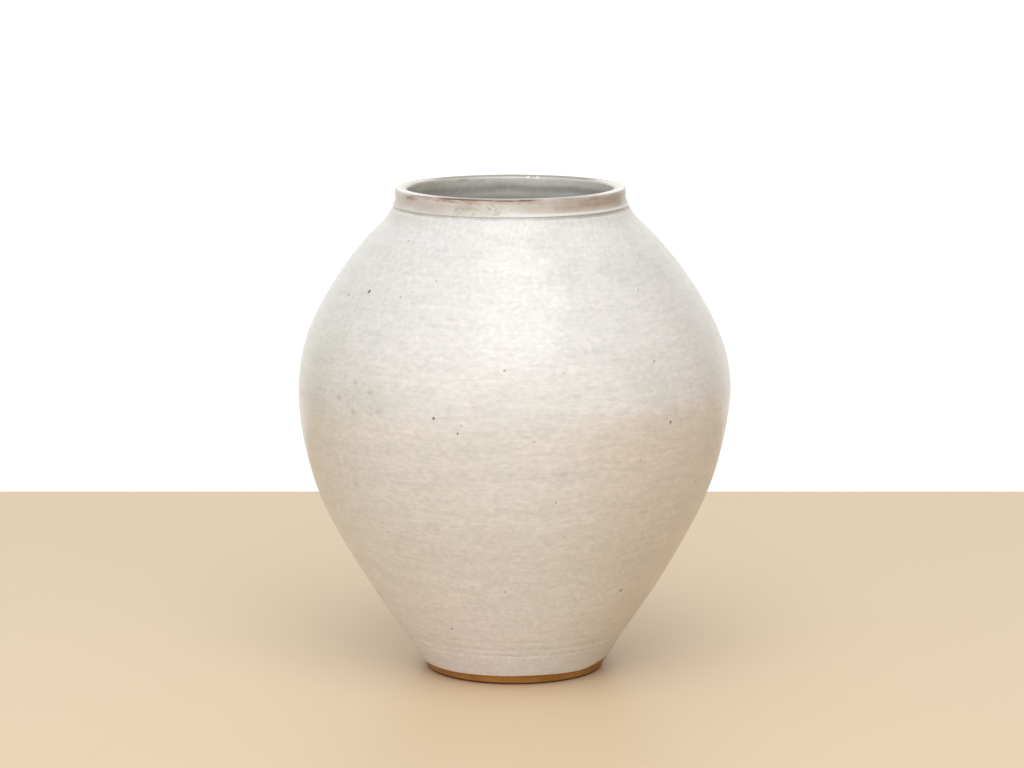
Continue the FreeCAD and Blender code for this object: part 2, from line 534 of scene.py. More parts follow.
class Section:
    """A half section of the jar in the XZ plane, drawn run by run and then thrown."""

    WELD = 0.001 * MM

    def __init__(self, radius: float, height: float) -> None:
        """Starts the section at a point.

        Args:
            radius: the point's radius.
            height: the point's height.
        """
        self.mesh = bmesh.new()
        self.start = Vector((radius, 0.0, height))
        self.tip = self.start
        self.corners: list[Corner] = []

    def run(
        self, radius: float, height: float, stations: int = 0, line: Optional[Line] = None
    ) -> "Section":
        """Draws on to a point.

        Args:
            radius: the point's radius.
            height: the point's height.
            stations: how many points the run has between its ends.
            line: the radius at each height between the ends. Without it the run is straight.

        Returns:
            The section, for its next run.
        """
        target = Vector((radius, 0.0, height))
        edge = self.mesh.edges.new([self.mesh.verts.new(self.tip), self.mesh.verts.new(target)])
        if stations:
            cut = bmesh.ops.subdivide_edges(self.mesh, edges=[edge], cuts=stations)
            for vert in cut["geom_inner"]:
                if line and isinstance(vert, bmesh.types.BMVert):
                    vert.co.x = line(vert.co.z)
        self.tip = target
        return self

    def follow(self, line: Line, height: float, stations: int) -> "Section":
        """Draws on along a line of radii to the line's point at a height."""
        return self.run(line(height), height, stations, line)

    def bend(self, leaving: Vector, target: Vector, arriving: Vector, stations: int) -> "Section":
        """Draws on to a point with a smooth bend.

        Args:
            leaving: the pull on the bend at its start, as a vector.
            target: the point.
            arriving: the direction and pull in which the bend comes in.
            stations: how many points the bend has between its ends.

        Returns:
            The section, for its next run.
        """
        places = interpolate_bezier(
            self.tip, self.tip + leaving, target - arriving, target, stations + 2
        )
        for place in places[1:]:
            self.run(place.x, place.z)
        return self

    def rounded(self, reach: float, segments: int = 4) -> "Section":
        """Marks the point reached last as a corner to round."""
        self.corners.append(Corner(self.tip.x, self.tip.z, reach, segments))
        return self

    def closed(self) -> "Section":
        """Draws back to the start."""
        return self.run(self.start.x, self.start.z)

    def thrown(self, facets: int) -> bmesh.types.BMesh:
        """Turns the section once round the axis, closes it and rounds its corners.

        Args:
            facets: how many steps the turn has.

        Returns:
            The closed shape, its faces pointing outwards.
        """
        shape = self.mesh
        bmesh.ops.remove_doubles(shape, verts=shape.verts[:], dist=self.WELD)
        bmesh.ops.spin(
            shape,
            geom=shape.verts[:] + shape.edges[:],
            axis=UP,
            cent=ORIGIN,
            angle=math.tau,
            steps=facets,
            use_merge=True,
            use_duplicate=False,
        )
        bmesh.ops.remove_doubles(shape, verts=shape.verts[:], dist=self.WELD)
        bmesh.ops.recalc_face_normals(shape, faces=shape.faces[:])
        for corner in self.corners:
            on_ring = {vert for vert in shape.verts if corner.holds(vert.co)}
            ring = [edge for edge in shape.edges if on_ring.issuperset(edge.verts)]
            round_off(shape, ring, corner.reach, corner.segments)
        return shape


class Value:
    """A number, vector or colour on its way through a finish's nodes."""

    def __init__(self, nodes: "FinishNodes", socket: bpy.types.NodeSocket) -> None:
        """Wraps the socket that gives the value."""
        self.nodes = nodes
        self.socket = socket

    def __add__(self, other: "Number") -> "Value":
        """The sum of two numbers."""
        return self.nodes.maths("ADD", self, other)

    def __radd__(self, other: "Number") -> "Value":
        """The sum of two numbers, the plain one first."""
        return self.nodes.maths("ADD", other, self)

    def __sub__(self, other: "Number") -> "Value":
        """The difference of two numbers."""
        return self.nodes.maths("SUBTRACT", self, other)

    def __rsub__(self, other: "Number") -> "Value":
        """The difference of two numbers, the plain one first."""
        return self.nodes.maths("SUBTRACT", other, self)

    def __mul__(self, other: "Number") -> "Value":
        """The product of two numbers."""
        return self.nodes.maths("MULTIPLY", self, other)

    def __rmul__(self, other: "Number") -> "Value":
        """The product of two numbers, the plain one first."""
        return self.nodes.maths("MULTIPLY", other, self)

    def __abs__(self) -> "Value":
        """The number without its sign."""
        return self.nodes.maths("ABSOLUTE", self)

    def or_more(self, other: "Number") -> "Value":
        """The larger of two numbers."""
        return self.nodes.maths("MAXIMUM", self, other)


Number = Union[float, Value]
Anything = Union[float, Sequence[float], Value]


class FinishNodes:
    """The node tree of one finish, with the shader that it feeds."""

    def __init__(
        self,
        tree: bpy.types.NodeTree,
        shader: str = "ShaderNodeBsdfPrincipled",
        output: str = "ShaderNodeOutputMaterial",
    ) -> None:
        """Empties the tree and gives it its shader.

        Args:
            tree: the tree.
            shader: the type of its shader node.
            output: the type of its output node.
        """
        self.tree = tree
        self.tree.nodes.clear()
        self.shader = self.node(shader)
        self.tree.links.new(self.shader.outputs[0], self.node(output).inputs["Surface"])

    @staticmethod
    def _named(sockets: Iterable[bpy.types.NodeSocket], key: str) -> bpy.types.NodeSocket:
        """The socket that has a key as its identifier."""
        return next(socket for socket in sockets if socket.identifier == key)

    def node(
        self,
        kind: str,
        settings: Optional[Mapping[str, Any]] = None,
        inputs: Optional[Mapping[str, Anything]] = None,
    ) -> bpy.types.Node:
        """Adds a node.

        Args:
            kind: the node's type.
            settings: its own settings, which are set first.
            inputs: the value or link of each socket, by the socket's identifier.

        Returns:
            The node.
        """
        node = self.tree.nodes.new(kind)
        for name, setting in (settings or {}).items():
            setattr(node, name, setting)
        for key, given in (inputs or {}).items():
            socket = self._named(node.inputs, key)
            if isinstance(given, Value):
                self.tree.links.new(given.socket, socket)
            else:
                socket.default_value = given
        return node

    def output(self, node: bpy.types.Node, key: str) -> Value:
        """One of a node's outputs, by its identifier."""
        return Value(self, self._named(node.outputs, key))

    def maths(self, operation: str, first: Number, second: Number = 0.0) -> Value:
        """A Math node on one or two numbers."""
        inputs = {"Value": first, "Value_001": second}
        return self.output(self.node("ShaderNodeMath", {"operation": operation}, inputs), "Value")

    def vectors(self, operation: str, first: Anything, second: Anything = (0.0, 0.0, 0.0)) -> Value:
        """A Vector Math node that gives a vector.

        Args:
            operation: what it does.
            first: the first vector.
            second: the second, where the operation takes two.

        Returns:
            The resulting vector.
        """
        inputs = {"Vector": first, "Vector_001": second}
        node = self.node("ShaderNodeVectorMath", {"operation": operation}, inputs)
        return self.output(node, "Vector")

    def length(self, vector: Value) -> Value:
        """The length of a vector."""
        node = self.node("ShaderNodeVectorMath", {"operation": "LENGTH"}, {"Vector": vector})
        return self.output(node, "Value")

    def place(self, kind: str = "Object") -> Value:
        """The place on the piece in metres, or the direction of the air as Generated."""
        return self.output(self.node("ShaderNodeTexCoord"), kind)

    def along(self, axis: str, place: Value) -> Value:
        """How far a place lies along the X, Y or Z axis."""
        return self.output(self.node("ShaderNodeSeparateXYZ", inputs={"Vector": place}), axis)

    def grain(self, place: Value, size: float, detail: float = 2.0, roughness: float = 0.5) -> Value:
        """A cloudy variation round zero.

        Args:
            place: where it is read.
            size: the size of its patches.
            detail: how many finer layers it has.
            roughness: how strong the finer layers are.

        Returns:
            A number between about -0.5 and 0.5.
        """
        inputs = {"Vector": place, "Scale": 1.0 / size, "Detail": detail, "Roughness": roughness}
        return self.output(self.node("ShaderNodeTexNoise", inputs=inputs), "Fac") - 0.5

    def fade(self, value: Value, none: Number, full: Number) -> Value:
        """A mask that grows smoothly from 0 to 1.

        Args:
            value: what the mask follows.
            none: where the mask is 0.
            full: where it is 1, above or below the other.

        Returns:
            The mask.
        """
        inputs = {"Value": value, "From Min": none, "From Max": full}
        node = self.node("ShaderNodeMapRange", {"interpolation_type": "SMOOTHSTEP"}, inputs)
        return self.output(node, "Result")

    def band(self, height: Value, low: float, high: float, soft: float) -> Value:
        """A mask of the heights between two limits.

        Args:
            height: what the mask follows.
            low: the lower limit.
            high: the upper limit.
            soft: how far each edge spreads to either side of its limit.

        Returns:
            The mask.
        """
        above = self.fade(height, low - soft, low + soft)
        below = self.fade(height, high + soft, high - soft)
        return above * below

    def lay(self, ground: Anything, colour: Anything, mask: Number, laid: Laid = Laid.OVER) -> Value:
        """Lays a colour on another where a mask says.

        Args:
            ground: the colour underneath.
            colour: the colour laid on it.
            mask: how much of it, from 0 to 1.
            laid: whether it covers or stains.

        Returns:
            The colour of both.
        """
        settings = {"data_type": "RGBA", "blend_type": laid.value}
        inputs = {
            "Factor_Float": mask,
            "A_Color": ground if isinstance(ground, Value) else (*ground, 1.0),
            "B_Color": colour if isinstance(colour, Value) else (*colour, 1.0),
        }
        return self.output(self.node("ShaderNodeMix", settings, inputs), "Result_Color")

    def cell_distance(self, place: Value, size: float) -> Value:
        """How far a place lies from the middle of the nearest of many strewn cells.

        Args:
            place: where it is read.
            size: the size of the cells.

        Returns:
            The distance, as a share of the size.
        """
        inputs = {"Vector": place, "Scale": 1.0 / size}
        node = self.node("ShaderNodeTexVoronoi", {"feature": "F1"}, inputs)
        return self.output(node, "Distance")

    def shaded(self, colour: Anything, tone: Number) -> Value:
        """A colour or vector made larger or smaller.

        Args:
            colour: the colour or vector.
            tone: the number that it is multiplied by.

        Returns:
            The product.
        """
        inputs = {"Vector": colour, "Scale": tone}
        node = self.node("ShaderNodeVectorMath", {"operation": "SCALE"}, inputs)
        return self.output(node, "Vector")

    def thrown_place(self, place: Value, path: Value, stretch: float) -> Value:
        """A place for marks that the wheel drew out round the axis.

        Args:
            place: the place on the piece.
            path: how far up or out along the section it lies.
            stretch: the length of a mark per radian, against its width.

        Returns:
            The place for a grain that runs round the jar.
        """
        flat = self.vectors("MULTIPLY", place, (1.0, 1.0, 0.0))
        round_about = self.vectors("MULTIPLY", self.vectors("NORMALIZE", flat), (stretch, stretch, 0.0))
        lift = self.output(self.node("ShaderNodeCombineXYZ", inputs={"Z": path}), "Vector")
        return self.vectors("ADD", round_about, lift)

    def spots(self, place: Value, marks: Iterable["Mark"], centre: Callable[["Mark"], Vector]) -> Value:
        """A mask of separate spots, the strongest where two meet.

        Args:
            place: the place on the piece.
            marks: the spots' sizes and strengths.
            centre: gives the middle of each.

        Returns:
            The mask.
        """
        mask: Optional[Value] = None
        for mark in marks:
            off = self.vectors("SUBTRACT", place, tuple(centre(mark)))
            scaled = self.vectors("DIVIDE", off, (mark.reach, mark.reach, mark.rise))
            here = self.fade(self.length(scaled), 1.0, mark.core) * mark.strength
            mask = here if mask is None else mask.or_more(here)
        return mask

    def wandered(self, place: Value, size: float, distance: float) -> Value:
        """A place moved about a little, so that what is drawn there has an uneven edge.

        Args:
            place: the place.
            size: how far apart the moves change.
            distance: how far they reach.

        Returns:
            The moved place.
        """
        inputs = {"Vector": place, "Scale": 1.0 / size, "Detail": 1.0}
        colour = self.output(self.node("ShaderNodeTexNoise", inputs=inputs), "Color")
        centred = self.vectors("SUBTRACT", colour, (0.5, 0.5, 0.5))
        return self.vectors("ADD", place, self.shaded(centred, distance))

    def dress(self, sockets: Mapping[str, Anything], relief: Optional[Value] = None) -> None:
        """Feeds the shader.

        Args:
            sockets: the value or link of each of the shader's sockets, by identifier.
            relief: height of the fine relief, in metres.
        """
        for key, given in sockets.items():
            socket = self._named(self.shader.inputs, key)
            if isinstance(given, Value):
                self.tree.links.new(given.socket, socket)
            elif isinstance(given, tuple):
                socket.default_value = (*given, 1.0)
            else:
                socket.default_value = given
        if relief is not None:
            bump = self.node("ShaderNodeBump", inputs={"Distance": 1.0, "Height": relief})
            self.tree.links.new(bump.outputs["Normal"], self.shader.inputs["Normal"])


def new_finish(name: str) -> tuple[bpy.types.Material, FinishNodes]:
    """Starts a material with nothing but its shader.

    Args:
        name: the material's name.

    Returns:
        The material and its nodes.
    """
    material = bpy.data.materials.new(name)
    material.use_nodes = True
    return material, FinishNodes(material.node_tree)


@dataclass(frozen=True)
class Mark:
    """A mark at one place of the glaze.

    Attributes:
        azimuth: where its middle lies round the jar, and height how high.
        reach: how far it reaches sideways, and rise how far up and down.
        strength: how much of its colour shows.
        core: the share of its reach that is full.
    """

    azimuth: float
    height: float
    reach: float
    rise: float
    strength: float
    core: float


def speck(azimuth: float, height: float, size: float, strength: float = 1.0) -> Mark:
    """An iron speck, by its azimuth, and its height and size in millimetres."""
    reach = 0.66 * size * MM
    return Mark(azimuth, height * MM, reach, reach, strength, core=0.35)


def patch(
    azimuth: float, height: float, reach: float, rise: float, strength: float = 1.0, core: float = 0.2
) -> Mark:
    """A soft patch, by its azimuth, and its height, reach and rise in millimetres."""
    return Mark(azimuth, height * MM, reach * MM, rise * MM, strength, core)


@dataclass(frozen=True)
class GlazeGround:
    """The places and variations that the masks of the milk glaze share.

    Attributes:
        place: the place on the piece, with height its Z and aside its X.
        behind: a mask of the jar's far side.
        round_about: the place for marks that run round the jar.
        fine: the finest streaks, with broad the wider ones and mottle the pitting.
        cloud: the slowest change over the jar, and drift a quicker one.
    """

    place: Value
    height: Value
    aside: Value
    behind: Value
    round_about: Value
    fine: Value
    broad: Value
    mottle: Value
    cloud: Value
    drift: Value


@dataclass(frozen=True)
class MilkGlaze:
    """The outside coat: a milky white glaze that thins to brown over the lip.

    Attributes:
        form: the jar's sizes.
        hand: how the round form was moved, so that the marks follow it.
        warm_below: the heights where the lower bowl's warm tone sets in, partly its own tone and
        partly a painted reflection of the table, table_reflection_beyond how far aside of
        table_reflection_middle the painted reflection is full, and warm_wander how far its upper
        edge strays.
        table_bounce_below: the heights where the painted warm shade of the table's bounce on the +X
        side sets in, table_bounce_beyond how far aside, and table_bounce_wander how far its
        upper edge strays.
        rosy_below: the heights where the rosy tone over the foot sets in, and rosy_before how far
            towards -X.
        bared_beyond: how far aside the coat draws back from its edge, and bared_rise how far up.
        behind_from: how far back the far side's own marks set in.
        lip_shade_from: how far back the top of the lip has painted shade and a thinner coat, and
        highlight_beside how far aside it has a painted highlight.
        ridge_highlight_from: how far aside the ridge at the foot of the flare has a painted highlight.
    """

    form: JarForm
    hand: PottersHand
    milk: Colour = (0.685, 0.685, 0.68)
    cool: Colour = (0.58, 0.61, 0.585)
    green: Colour = (0.61, 0.635, 0.59)
    warm: Colour = (0.70, 0.645, 0.63)
    thin: Colour = (0.43, 0.385, 0.33)
    pooled_glaze_and_shade: Colour = (0.33, 0.34, 0.29)
    rust: Colour = (0.35, 0.215, 0.15)
    burnt: Colour = (0.15, 0.08, 0.05)
    # Painted highlight of the lip's top
    painted_highlight: Colour = (0.80, 0.78, 0.73)
    iron: Colour = (0.10, 0.08, 0.055)
    spare: Colour = (0.42, 0.39, 0.35)
    # Painted shade of the lip's top
    painted_lip_shade: Colour = (0.28, 0.27, 0.23)
    # Warm tone of the lower bowl, partly a painted reflection of the table
    toast_and_table_reflection: Colour = (0.97, 0.94, 0.885)
    # Painted warm shade of the table's bounce on the +X side
    painted_table_bounce: Colour = (0.965, 0.925, 0.905)
    rosy: Colour = (0.76, 0.71, 0.74)
    ochre: Colour = (0.34, 0.155, 0.032)
    streak_size: float = 1.5 * MM
    streak_stretch: float = 9 * MM
    broad_size: float = 9 * MM
    mottle_size: float = 1.9 * MM
    mottle_stretch: float = 55 * MM
    cloud_size: float = 34 * MM
    drift_size: float = 14 * MM
    dimple_size: float = 11 * MM
    wave_size: float = 60 * MM
    wave_rise: float = 5 * MM
    warm_below: Span = (152 * MM, 143 * MM)
    table_reflection_beyond: Span = (40 * MM, 85 * MM)
    table_reflection_middle: float = -25 * MM
    warm_wander: float = 12 * MM
    table_bounce_below: Span = (164 * MM, 126 * MM)
    table_bounce_beyond: Span = (5 * MM, 65 * MM)
    table_bounce_wander: float = 30 * MM
    rosy_below: Span = (95 * MM, 20 * MM)
    rosy_before: Span = (40 * MM, -20 * MM)
    bared_beyond: Span = (33 * MM, 47 * MM)
    bared_rise: float = 2.6 * MM
    behind_from: Span = (-10 * MM, 15 * MM)
    lip_shade_from: Span = (8 * MM, 40 * MM)
    highlight_beside: Span = (24 * MM, 50 * MM)
    ridge_highlight_from: Span = (-30 * MM, 25 * MM)
    specks: tuple[Mark, ...] = (
        speck(-52.5, 203.5, 2.2),
        speck(-63, 200, 1.5, 0.6),
        speck(-38, 203, 1.2, 0.7),
        speck(-26.5, 211.5, 1.1, 0.6),
        speck(44.5, 205.5, 1.4, 0.5),
        speck(-20.9, 148, 1.65),
        speck(-14.5, 141, 1.3, 0.9),
        speck(-13.5, 145, 1.4, 0.35),
        speck(-2.5, 172, 1.3, 0.7),
        speck(5, 137.5, 1.2, 0.5),
        speck(40.5, 172.5, 1.3, 0.75),
        speck(44, 142, 1.6, 0.9),
        speck(35, 124.5, 1.1, 0.5),
        speck(11.5, 106, 1.3, 0.6),
        speck(15, 87.5, 1.2, 0.5),
        speck(-3, 56.5, 1.2, 0.7),
        speck(-28, 32.5, 1.4, 0.8),
        speck(-61.5, 26.5, 1.2, 0.7),
        speck(43.5, 52, 2.0, 0.9),
        speck(13, 170.5, 1.0, 0.4),
        speck(61, 106.5, 1.3, 0.6),
        speck(-47, 228, 1.2, 0.6),
    )
    stains: tuple[Mark, ...] = (
        patch(-46, 161.2, 2.6, 2.4, 0.8, 0.1),
        patch(-51.8, 152.3, 2.8, 2.2, 1.0, 0.1),
        patch(-40.3, 157.2, 3.2, 1.6, 1.0, 0.1),
        patch(-46.1, 146.5, 2.6, 2.4, 0.8, 0.1),
        patch(-37.6, 148.4, 2.0, 2.4, 0.5, 0.1),
        patch(-50.2, 163, 2.0, 2.4, 0.5, 0.1),
    )
    stained_place: Mark = patch(-45, 155, 26, 13)
    green_places: tuple[Mark, ...] = (
        patch(-45, 153, 30, 17),
        patch(-66, 168, 36, 38, 0.9),
        patch(14, 158, 30, 14, 0.4),
    )
    milky_patches: tuple[Mark, ...] = (patch(-1, 245.5, 18, 4, 1.0, 0.3),)
    crackled_place: Mark = patch(-17, 243.5, 20, 6, 1.0, 0.3)
    rust_patches: tuple[Mark, ...] = (
        patch(-58, 248.1, 9, 1.9, 0.9),
        patch(-44, 248.7, 6, 1.2, 0.6),
        patch(-33, 248.7, 12, 1.5, 0.8),
        patch(-19, 248.5, 12, 1.4, 0.6),
        patch(-6, 248.5, 12, 1.2, 0.6),
        patch(8, 248.5, 12, 1.3, 0.5),
        patch(18, 248.2, 9, 1.8, 0.5),
        patch(30, 246.5, 14, 3.5, 0.4),
        patch(33, 247.1, 14, 0.9, 0.55, 0.3),
        patch(52, 247.1, 16, 1.0, 0.6, 0.3),
        patch(50, 246.6, 26, 4, 0.55, 0.3),
        patch(72, 246.6, 14, 3.6, 0.5, 0.3),
    )
    burnt_line: tuple[Mark, ...] = (
        patch(-50, 249.5, 12, 0.9, 0.7, 0.4),
        patch(-24, 249.6, 22, 0.75, 0.9, 0.5),
        patch(0, 249.45, 20, 0.75, 1.0, 0.5),
        patch(28, 249.3, 12, 0.6, 0.35, 0.4),
    )

    def _middle(self, mark: Mark) -> Vector:
        """The place of a mark's middle on the settled jar."""
        radius = self.form.outside(mark.height)
        return self.hand.settled(round_the_jar(mark.azimuth, radius, mark.height))

    def _ground(self, nodes: FinishNodes) -> GlazeGround:
        """The shared places and variations.

        Args:
            nodes: the finish's nodes.

        Returns:
            All of them.
        """
        place = nodes.place()
        height = nodes.along("Z", place)
        path = height + nodes.grain(place, self.wave_size) * self.wave_rise
        round_about = nodes.thrown_place(place, path, self.streak_stretch)
        drawn_long = nodes.thrown_place(place, path, self.mottle_stretch)
        elsewhere = nodes.vectors("ADD", place, (0.3, 0.1, 0.2))
        return GlazeGround(
            place=place,
            height=height,
            aside=nodes.along("X", place),
            behind=nodes.fade(nodes.along("Y", place), *self.behind_from),
            round_about=round_about,
            fine=nodes.grain(round_about, self.streak_size, 3.0),
            broad=nodes.grain(round_about, self.broad_size, 2.0),
            mottle=nodes.grain(drawn_long, self.mottle_size, 4.0, 0.65),
            cloud=nodes.grain(place, self.cloud_size, 3.0),
            drift=nodes.grain(elsewhere, self.drift_size, 2.0),
        )

    def _milk_colour(self, nodes: FinishNodes, ground: GlazeGround) -> Value:
        """The clouded white with its greenish places.

        Args:
            nodes: the finish's nodes.
            ground: the shared places and variations.

        Returns:
            The colour.
        """
        colour = nodes.lay(self.milk, self.cool, nodes.fade(ground.cloud, -0.02, 0.22) * 0.33)
        colour = nodes.lay(colour, self.warm, nodes.fade(ground.drift, 0.0, 0.22) * 0.3)
        colour = nodes.lay(colour, self.cool, nodes.fade(ground.drift, 0.0, -0.24) * 0.25)
        uneven = nodes.wandered(ground.place, 20 * MM, 14 * MM)
        greenish = nodes.spots(uneven, self.green_places, self._middle)
        return nodes.lay(colour, self.green, greenish * 0.55)

    def _kiln_and_table_tones(self, nodes: FinishNodes, ground: GlazeGround, colour: Value) -> Value:
        """Stains the coat below the widest line, partly with the lower bowl's own tone and partly with
        painted light: a reflection of the table towards the sides and the warm shade of its bounce on
        the +X side. Stains it over the foot too.

        Args:
            nodes: the finish's nodes.
            ground: the shared places and variations.
            colour: the colour to stain.

        Returns:
            The stained colour.
        """
        height, aside, drift = ground.height, ground.aside, ground.drift
        # The lower bowl's warm tone, stronger towards the sides as a painted reflection of the table
        lower = nodes.fade(height + drift * self.warm_wander, *self.warm_below)
        outer = nodes.fade(abs(aside - self.table_reflection_middle), *self.table_reflection_beyond)
        colour = nodes.lay(colour, self.toast_and_table_reflection, lower * (0.35 + outer * 0.65), Laid.AS_STAIN)
        # Painted warm shade from the table's bounce, on the +X side below the widest line
        bounce = nodes.fade(height + drift * self.table_bounce_wander, *self.table_bounce_below)
        bounce = bounce * nodes.fade(aside, *self.table_bounce_beyond)
        colour = nodes.lay(colour, self.painted_table_bounce, bounce, Laid.AS_STAIN)
        near_foot = nodes.fade(height, *self.rosy_below) * nodes.fade(aside, *self.rosy_before)
        return nodes.lay(colour, self.rosy, near_foot * 0.5)

    def _bare_edge(self, nodes: FinishNodes, ground: GlazeGround) -> Value:
        """A mask of the coat's edge where it drew back from the foot.

        Args:
            nodes: the finish's nodes.
            ground: the shared places and variations.

        Returns:
            The mask.
        """
        rise = nodes.fade(ground.aside, *self.bared_beyond) * self.bared_rise
        above = ground.height + ground.broad * MM - (self.form.foot_height + rise)
        return nodes.fade(above, 0.1 * MM, -0.1 * MM)

    def _stain(self, nodes: FinishNodes, ground: GlazeGround) -> Value:
        """A mask of the grey blotches at the widest line.

        Args:
            nodes: the finish's nodes.
            ground: the shared places and variations.

        Returns:
            The mask.
        """
        uneven = nodes.wandered(ground.place, 2.5 * MM, 1.5 * MM)
        placed = nodes.spots(uneven, self.stains, self._middle)
        blotches = nodes.fade(nodes.grain(ground.place, 3.2 * MM, 2.0), 0.04, 0.2)
        strewn = nodes.spots(ground.place, (self.stained_place,), self._middle) * blotches
        return placed.or_more(strewn * 0.45)

    def _collar_tones(self, nodes: FinishNodes, ground: GlazeGround, colour: Value) -> Value:
        """Thins the coat over the collar, pools it in the scored line, and paints a highlight on the
        ridge.

        Args:
            nodes: the finish's nodes.
            ground: the shared places and variations.
            colour: the colour to lay them on.

        Returns:
            The colour with the collar's tones.
        """
        form, aside, broad, drift = self.form, ground.aside, ground.broad, ground.drift
        collar = nodes.band(ground.height, form.flare_foot_height, form.height, 0.5 * MM)
        bare = nodes.fade(drift + ground.mottle * 0.6 + broad * 0.5, -0.22, 0.18)
        uneven = nodes.wandered(ground.place, 8 * MM, 4 * MM)
        milky = nodes.spots(uneven, self.milky_patches, self._middle)
        thinned = collar * (0.45 + aside * 4.5 + bare * 0.4 - milky * 0.25)
        colour = nodes.lay(colour, self.thin, thinned)
        line_foot = form.shoulder_height - 0.3 * MM
        line_top = form.flare_foot_height - 0.2 * MM
        groove = nodes.band(ground.height + drift * (0.8 * MM), line_foot, line_top, 0.5 * MM)
        colour = nodes.lay(colour, self.pooled_glaze_and_shade, groove * (0.6 + broad * 1.2 + drift + aside * 5.0))
        # A painted highlight on the ridge at the foot of the flare, stronger towards +X
        lit_ridge = nodes.band(ground.height, line_top, form.flare_top_height - 2.2 * MM, 0.5 * MM)
        return nodes.lay(colour, self.milk, lit_ridge * nodes.fade(aside, *self.ridge_highlight_from) * 0.9)

    def _rust(self, nodes: FinishNodes, ground: GlazeGround, lip_level: Value) -> Value:
        """A mask of the rust on the lip, before it is broken up.

        Args:
            nodes: the finish's nodes.
            ground: the shared places and variations.
            lip_level: the height, corrected for the lip's dip.

        Returns:
            The mask, with marks in their places and others strewn on the far side.
        """
        top = self.form.height
        lip = nodes.band(lip_level, top - 5 * MM, top - 0.8 * MM, 0.8 * MM)
        strewn = nodes.fade(ground.cloud + ground.drift * 0.5, 0.0, 0.16)
        uneven = nodes.wandered(ground.place, 4 * MM, 3 * MM)
        placed = nodes.spots(uneven, self.rust_patches, self._middle)
        return placed.or_more(ground.behind * lip * strewn * 0.8)

    def _iron(self, nodes: FinishNodes, ground: GlazeGround) -> Value:
        """A mask of the iron specks.

        Args:
            nodes: the finish's nodes.
            ground: the shared places and variations.

        Returns:
            The mask, with specks in their places and others strewn on the far side.
        """
        uneven = nodes.wandered(ground.place, 1.2 * MM, 0.7 * MM)
        placed = nodes.spots(uneven, self.specks, self._middle)
        cells = nodes.cell_distance(nodes.wandered(ground.place, 1.2 * MM, 0.5 * MM), 15 * MM)
        return placed.or_more(nodes.fade(cells, 0.055, 0.03) * ground.behind * 0.85)

    def material(self) -> bpy.types.Material:
        """The finish as a material.

        Returns:
            The material.
        """
        material, nodes = new_finish("milk_glaze")
        ground = self._ground(nodes)
        place, broad, mottle = ground.place, ground.broad, ground.mottle
        colour = self._kiln_and_table_tones(nodes, ground, self._milk_colour(nodes, ground))
        colour = nodes.shaded(colour, 1.0 + ground.fine * 0.2 + broad * 0.13 + mottle * 0.5)
        bare_edge = self._bare_edge(nodes, ground)
        colour = nodes.lay(colour, self.ochre, bare_edge)
        colour = nodes.lay(colour, self.pooled_glaze_and_shade, self._stain(nodes, ground) * 0.42)
        colour = self._collar_tones(nodes, ground, colour)

        top_height = self.form.height
        dip = self.hand.lip_drop_over(nodes, place, self.form.crest_radius)
        lip_level = ground.height + dip
        streaky = nodes.wandered(ground.round_about, 6 * MM, 2 * MM)
        breakup = nodes.fade(nodes.grain(streaky, 2.2 * MM, 3.0), -0.16, 0.10)
        rusty = self._rust(nodes, ground, lip_level) * (0.25 + breakup * 0.75)
        colour = nodes.lay(colour, self.rust, rusty)
        line = nodes.spots(nodes.wandered(place, 6 * MM, 0.5 * MM), self.burnt_line, self._middle)
        colour = nodes.lay(colour, self.burnt, line * (0.45 + breakup * 0.65))
        # The top of the lip: a painted highlight at the sides and painted shade at the far side
        top = nodes.fade(lip_level, top_height - 0.4 * MM, top_height - 0.1 * MM)
        far_lip_shade = nodes.fade(nodes.along("Y", place), *self.lip_shade_from)
        painted_highlight = nodes.lay(self.spare, self.painted_highlight, nodes.fade(abs(ground.aside), *self.highlight_beside))
        colour = nodes.lay(colour, nodes.lay(painted_highlight, self.painted_lip_shade, far_lip_shade), top * 0.95)

        iron = self._iron(nodes, ground)
        colour = nodes.lay(colour, self.iron, iron * 0.85)
        crackle = nodes.spots(place, (self.crackled_place,), self._middle)
        pitted = crackle * nodes.fade(nodes.grain(place, 1.7 * MM, 1.0), -0.03, -0.2)
        colour = nodes.lay(colour, self.pooled_glaze_and_shade, pitted * 0.7)
        dimple = nodes.grain(place, self.dimple_size, 1.0)
        relief = ground.fine * (0.04 * MM) + broad * (0.1 * MM) + mottle * ((0.08 + crackle * 0.5) * MM)
        relief = relief + dimple * (0.5 * MM) - iron * (0.05 * MM) - pitted * (0.15 * MM)
        dull = (top * far_lip_shade).or_more(bare_edge).or_more(line)
        nodes.dress(
            {
                "Base Color": colour,
                "Roughness": 0.45 + mottle * 0.3 + rusty * 0.15 + bare_edge * 0.3,
                "IOR": 1.35,
                "Coat Weight": 0.65 + mottle * 0.9 + broad * 0.5 - dull * 0.5,
                "Coat Roughness": 0.2,
            },
            relief,
        )
        return material


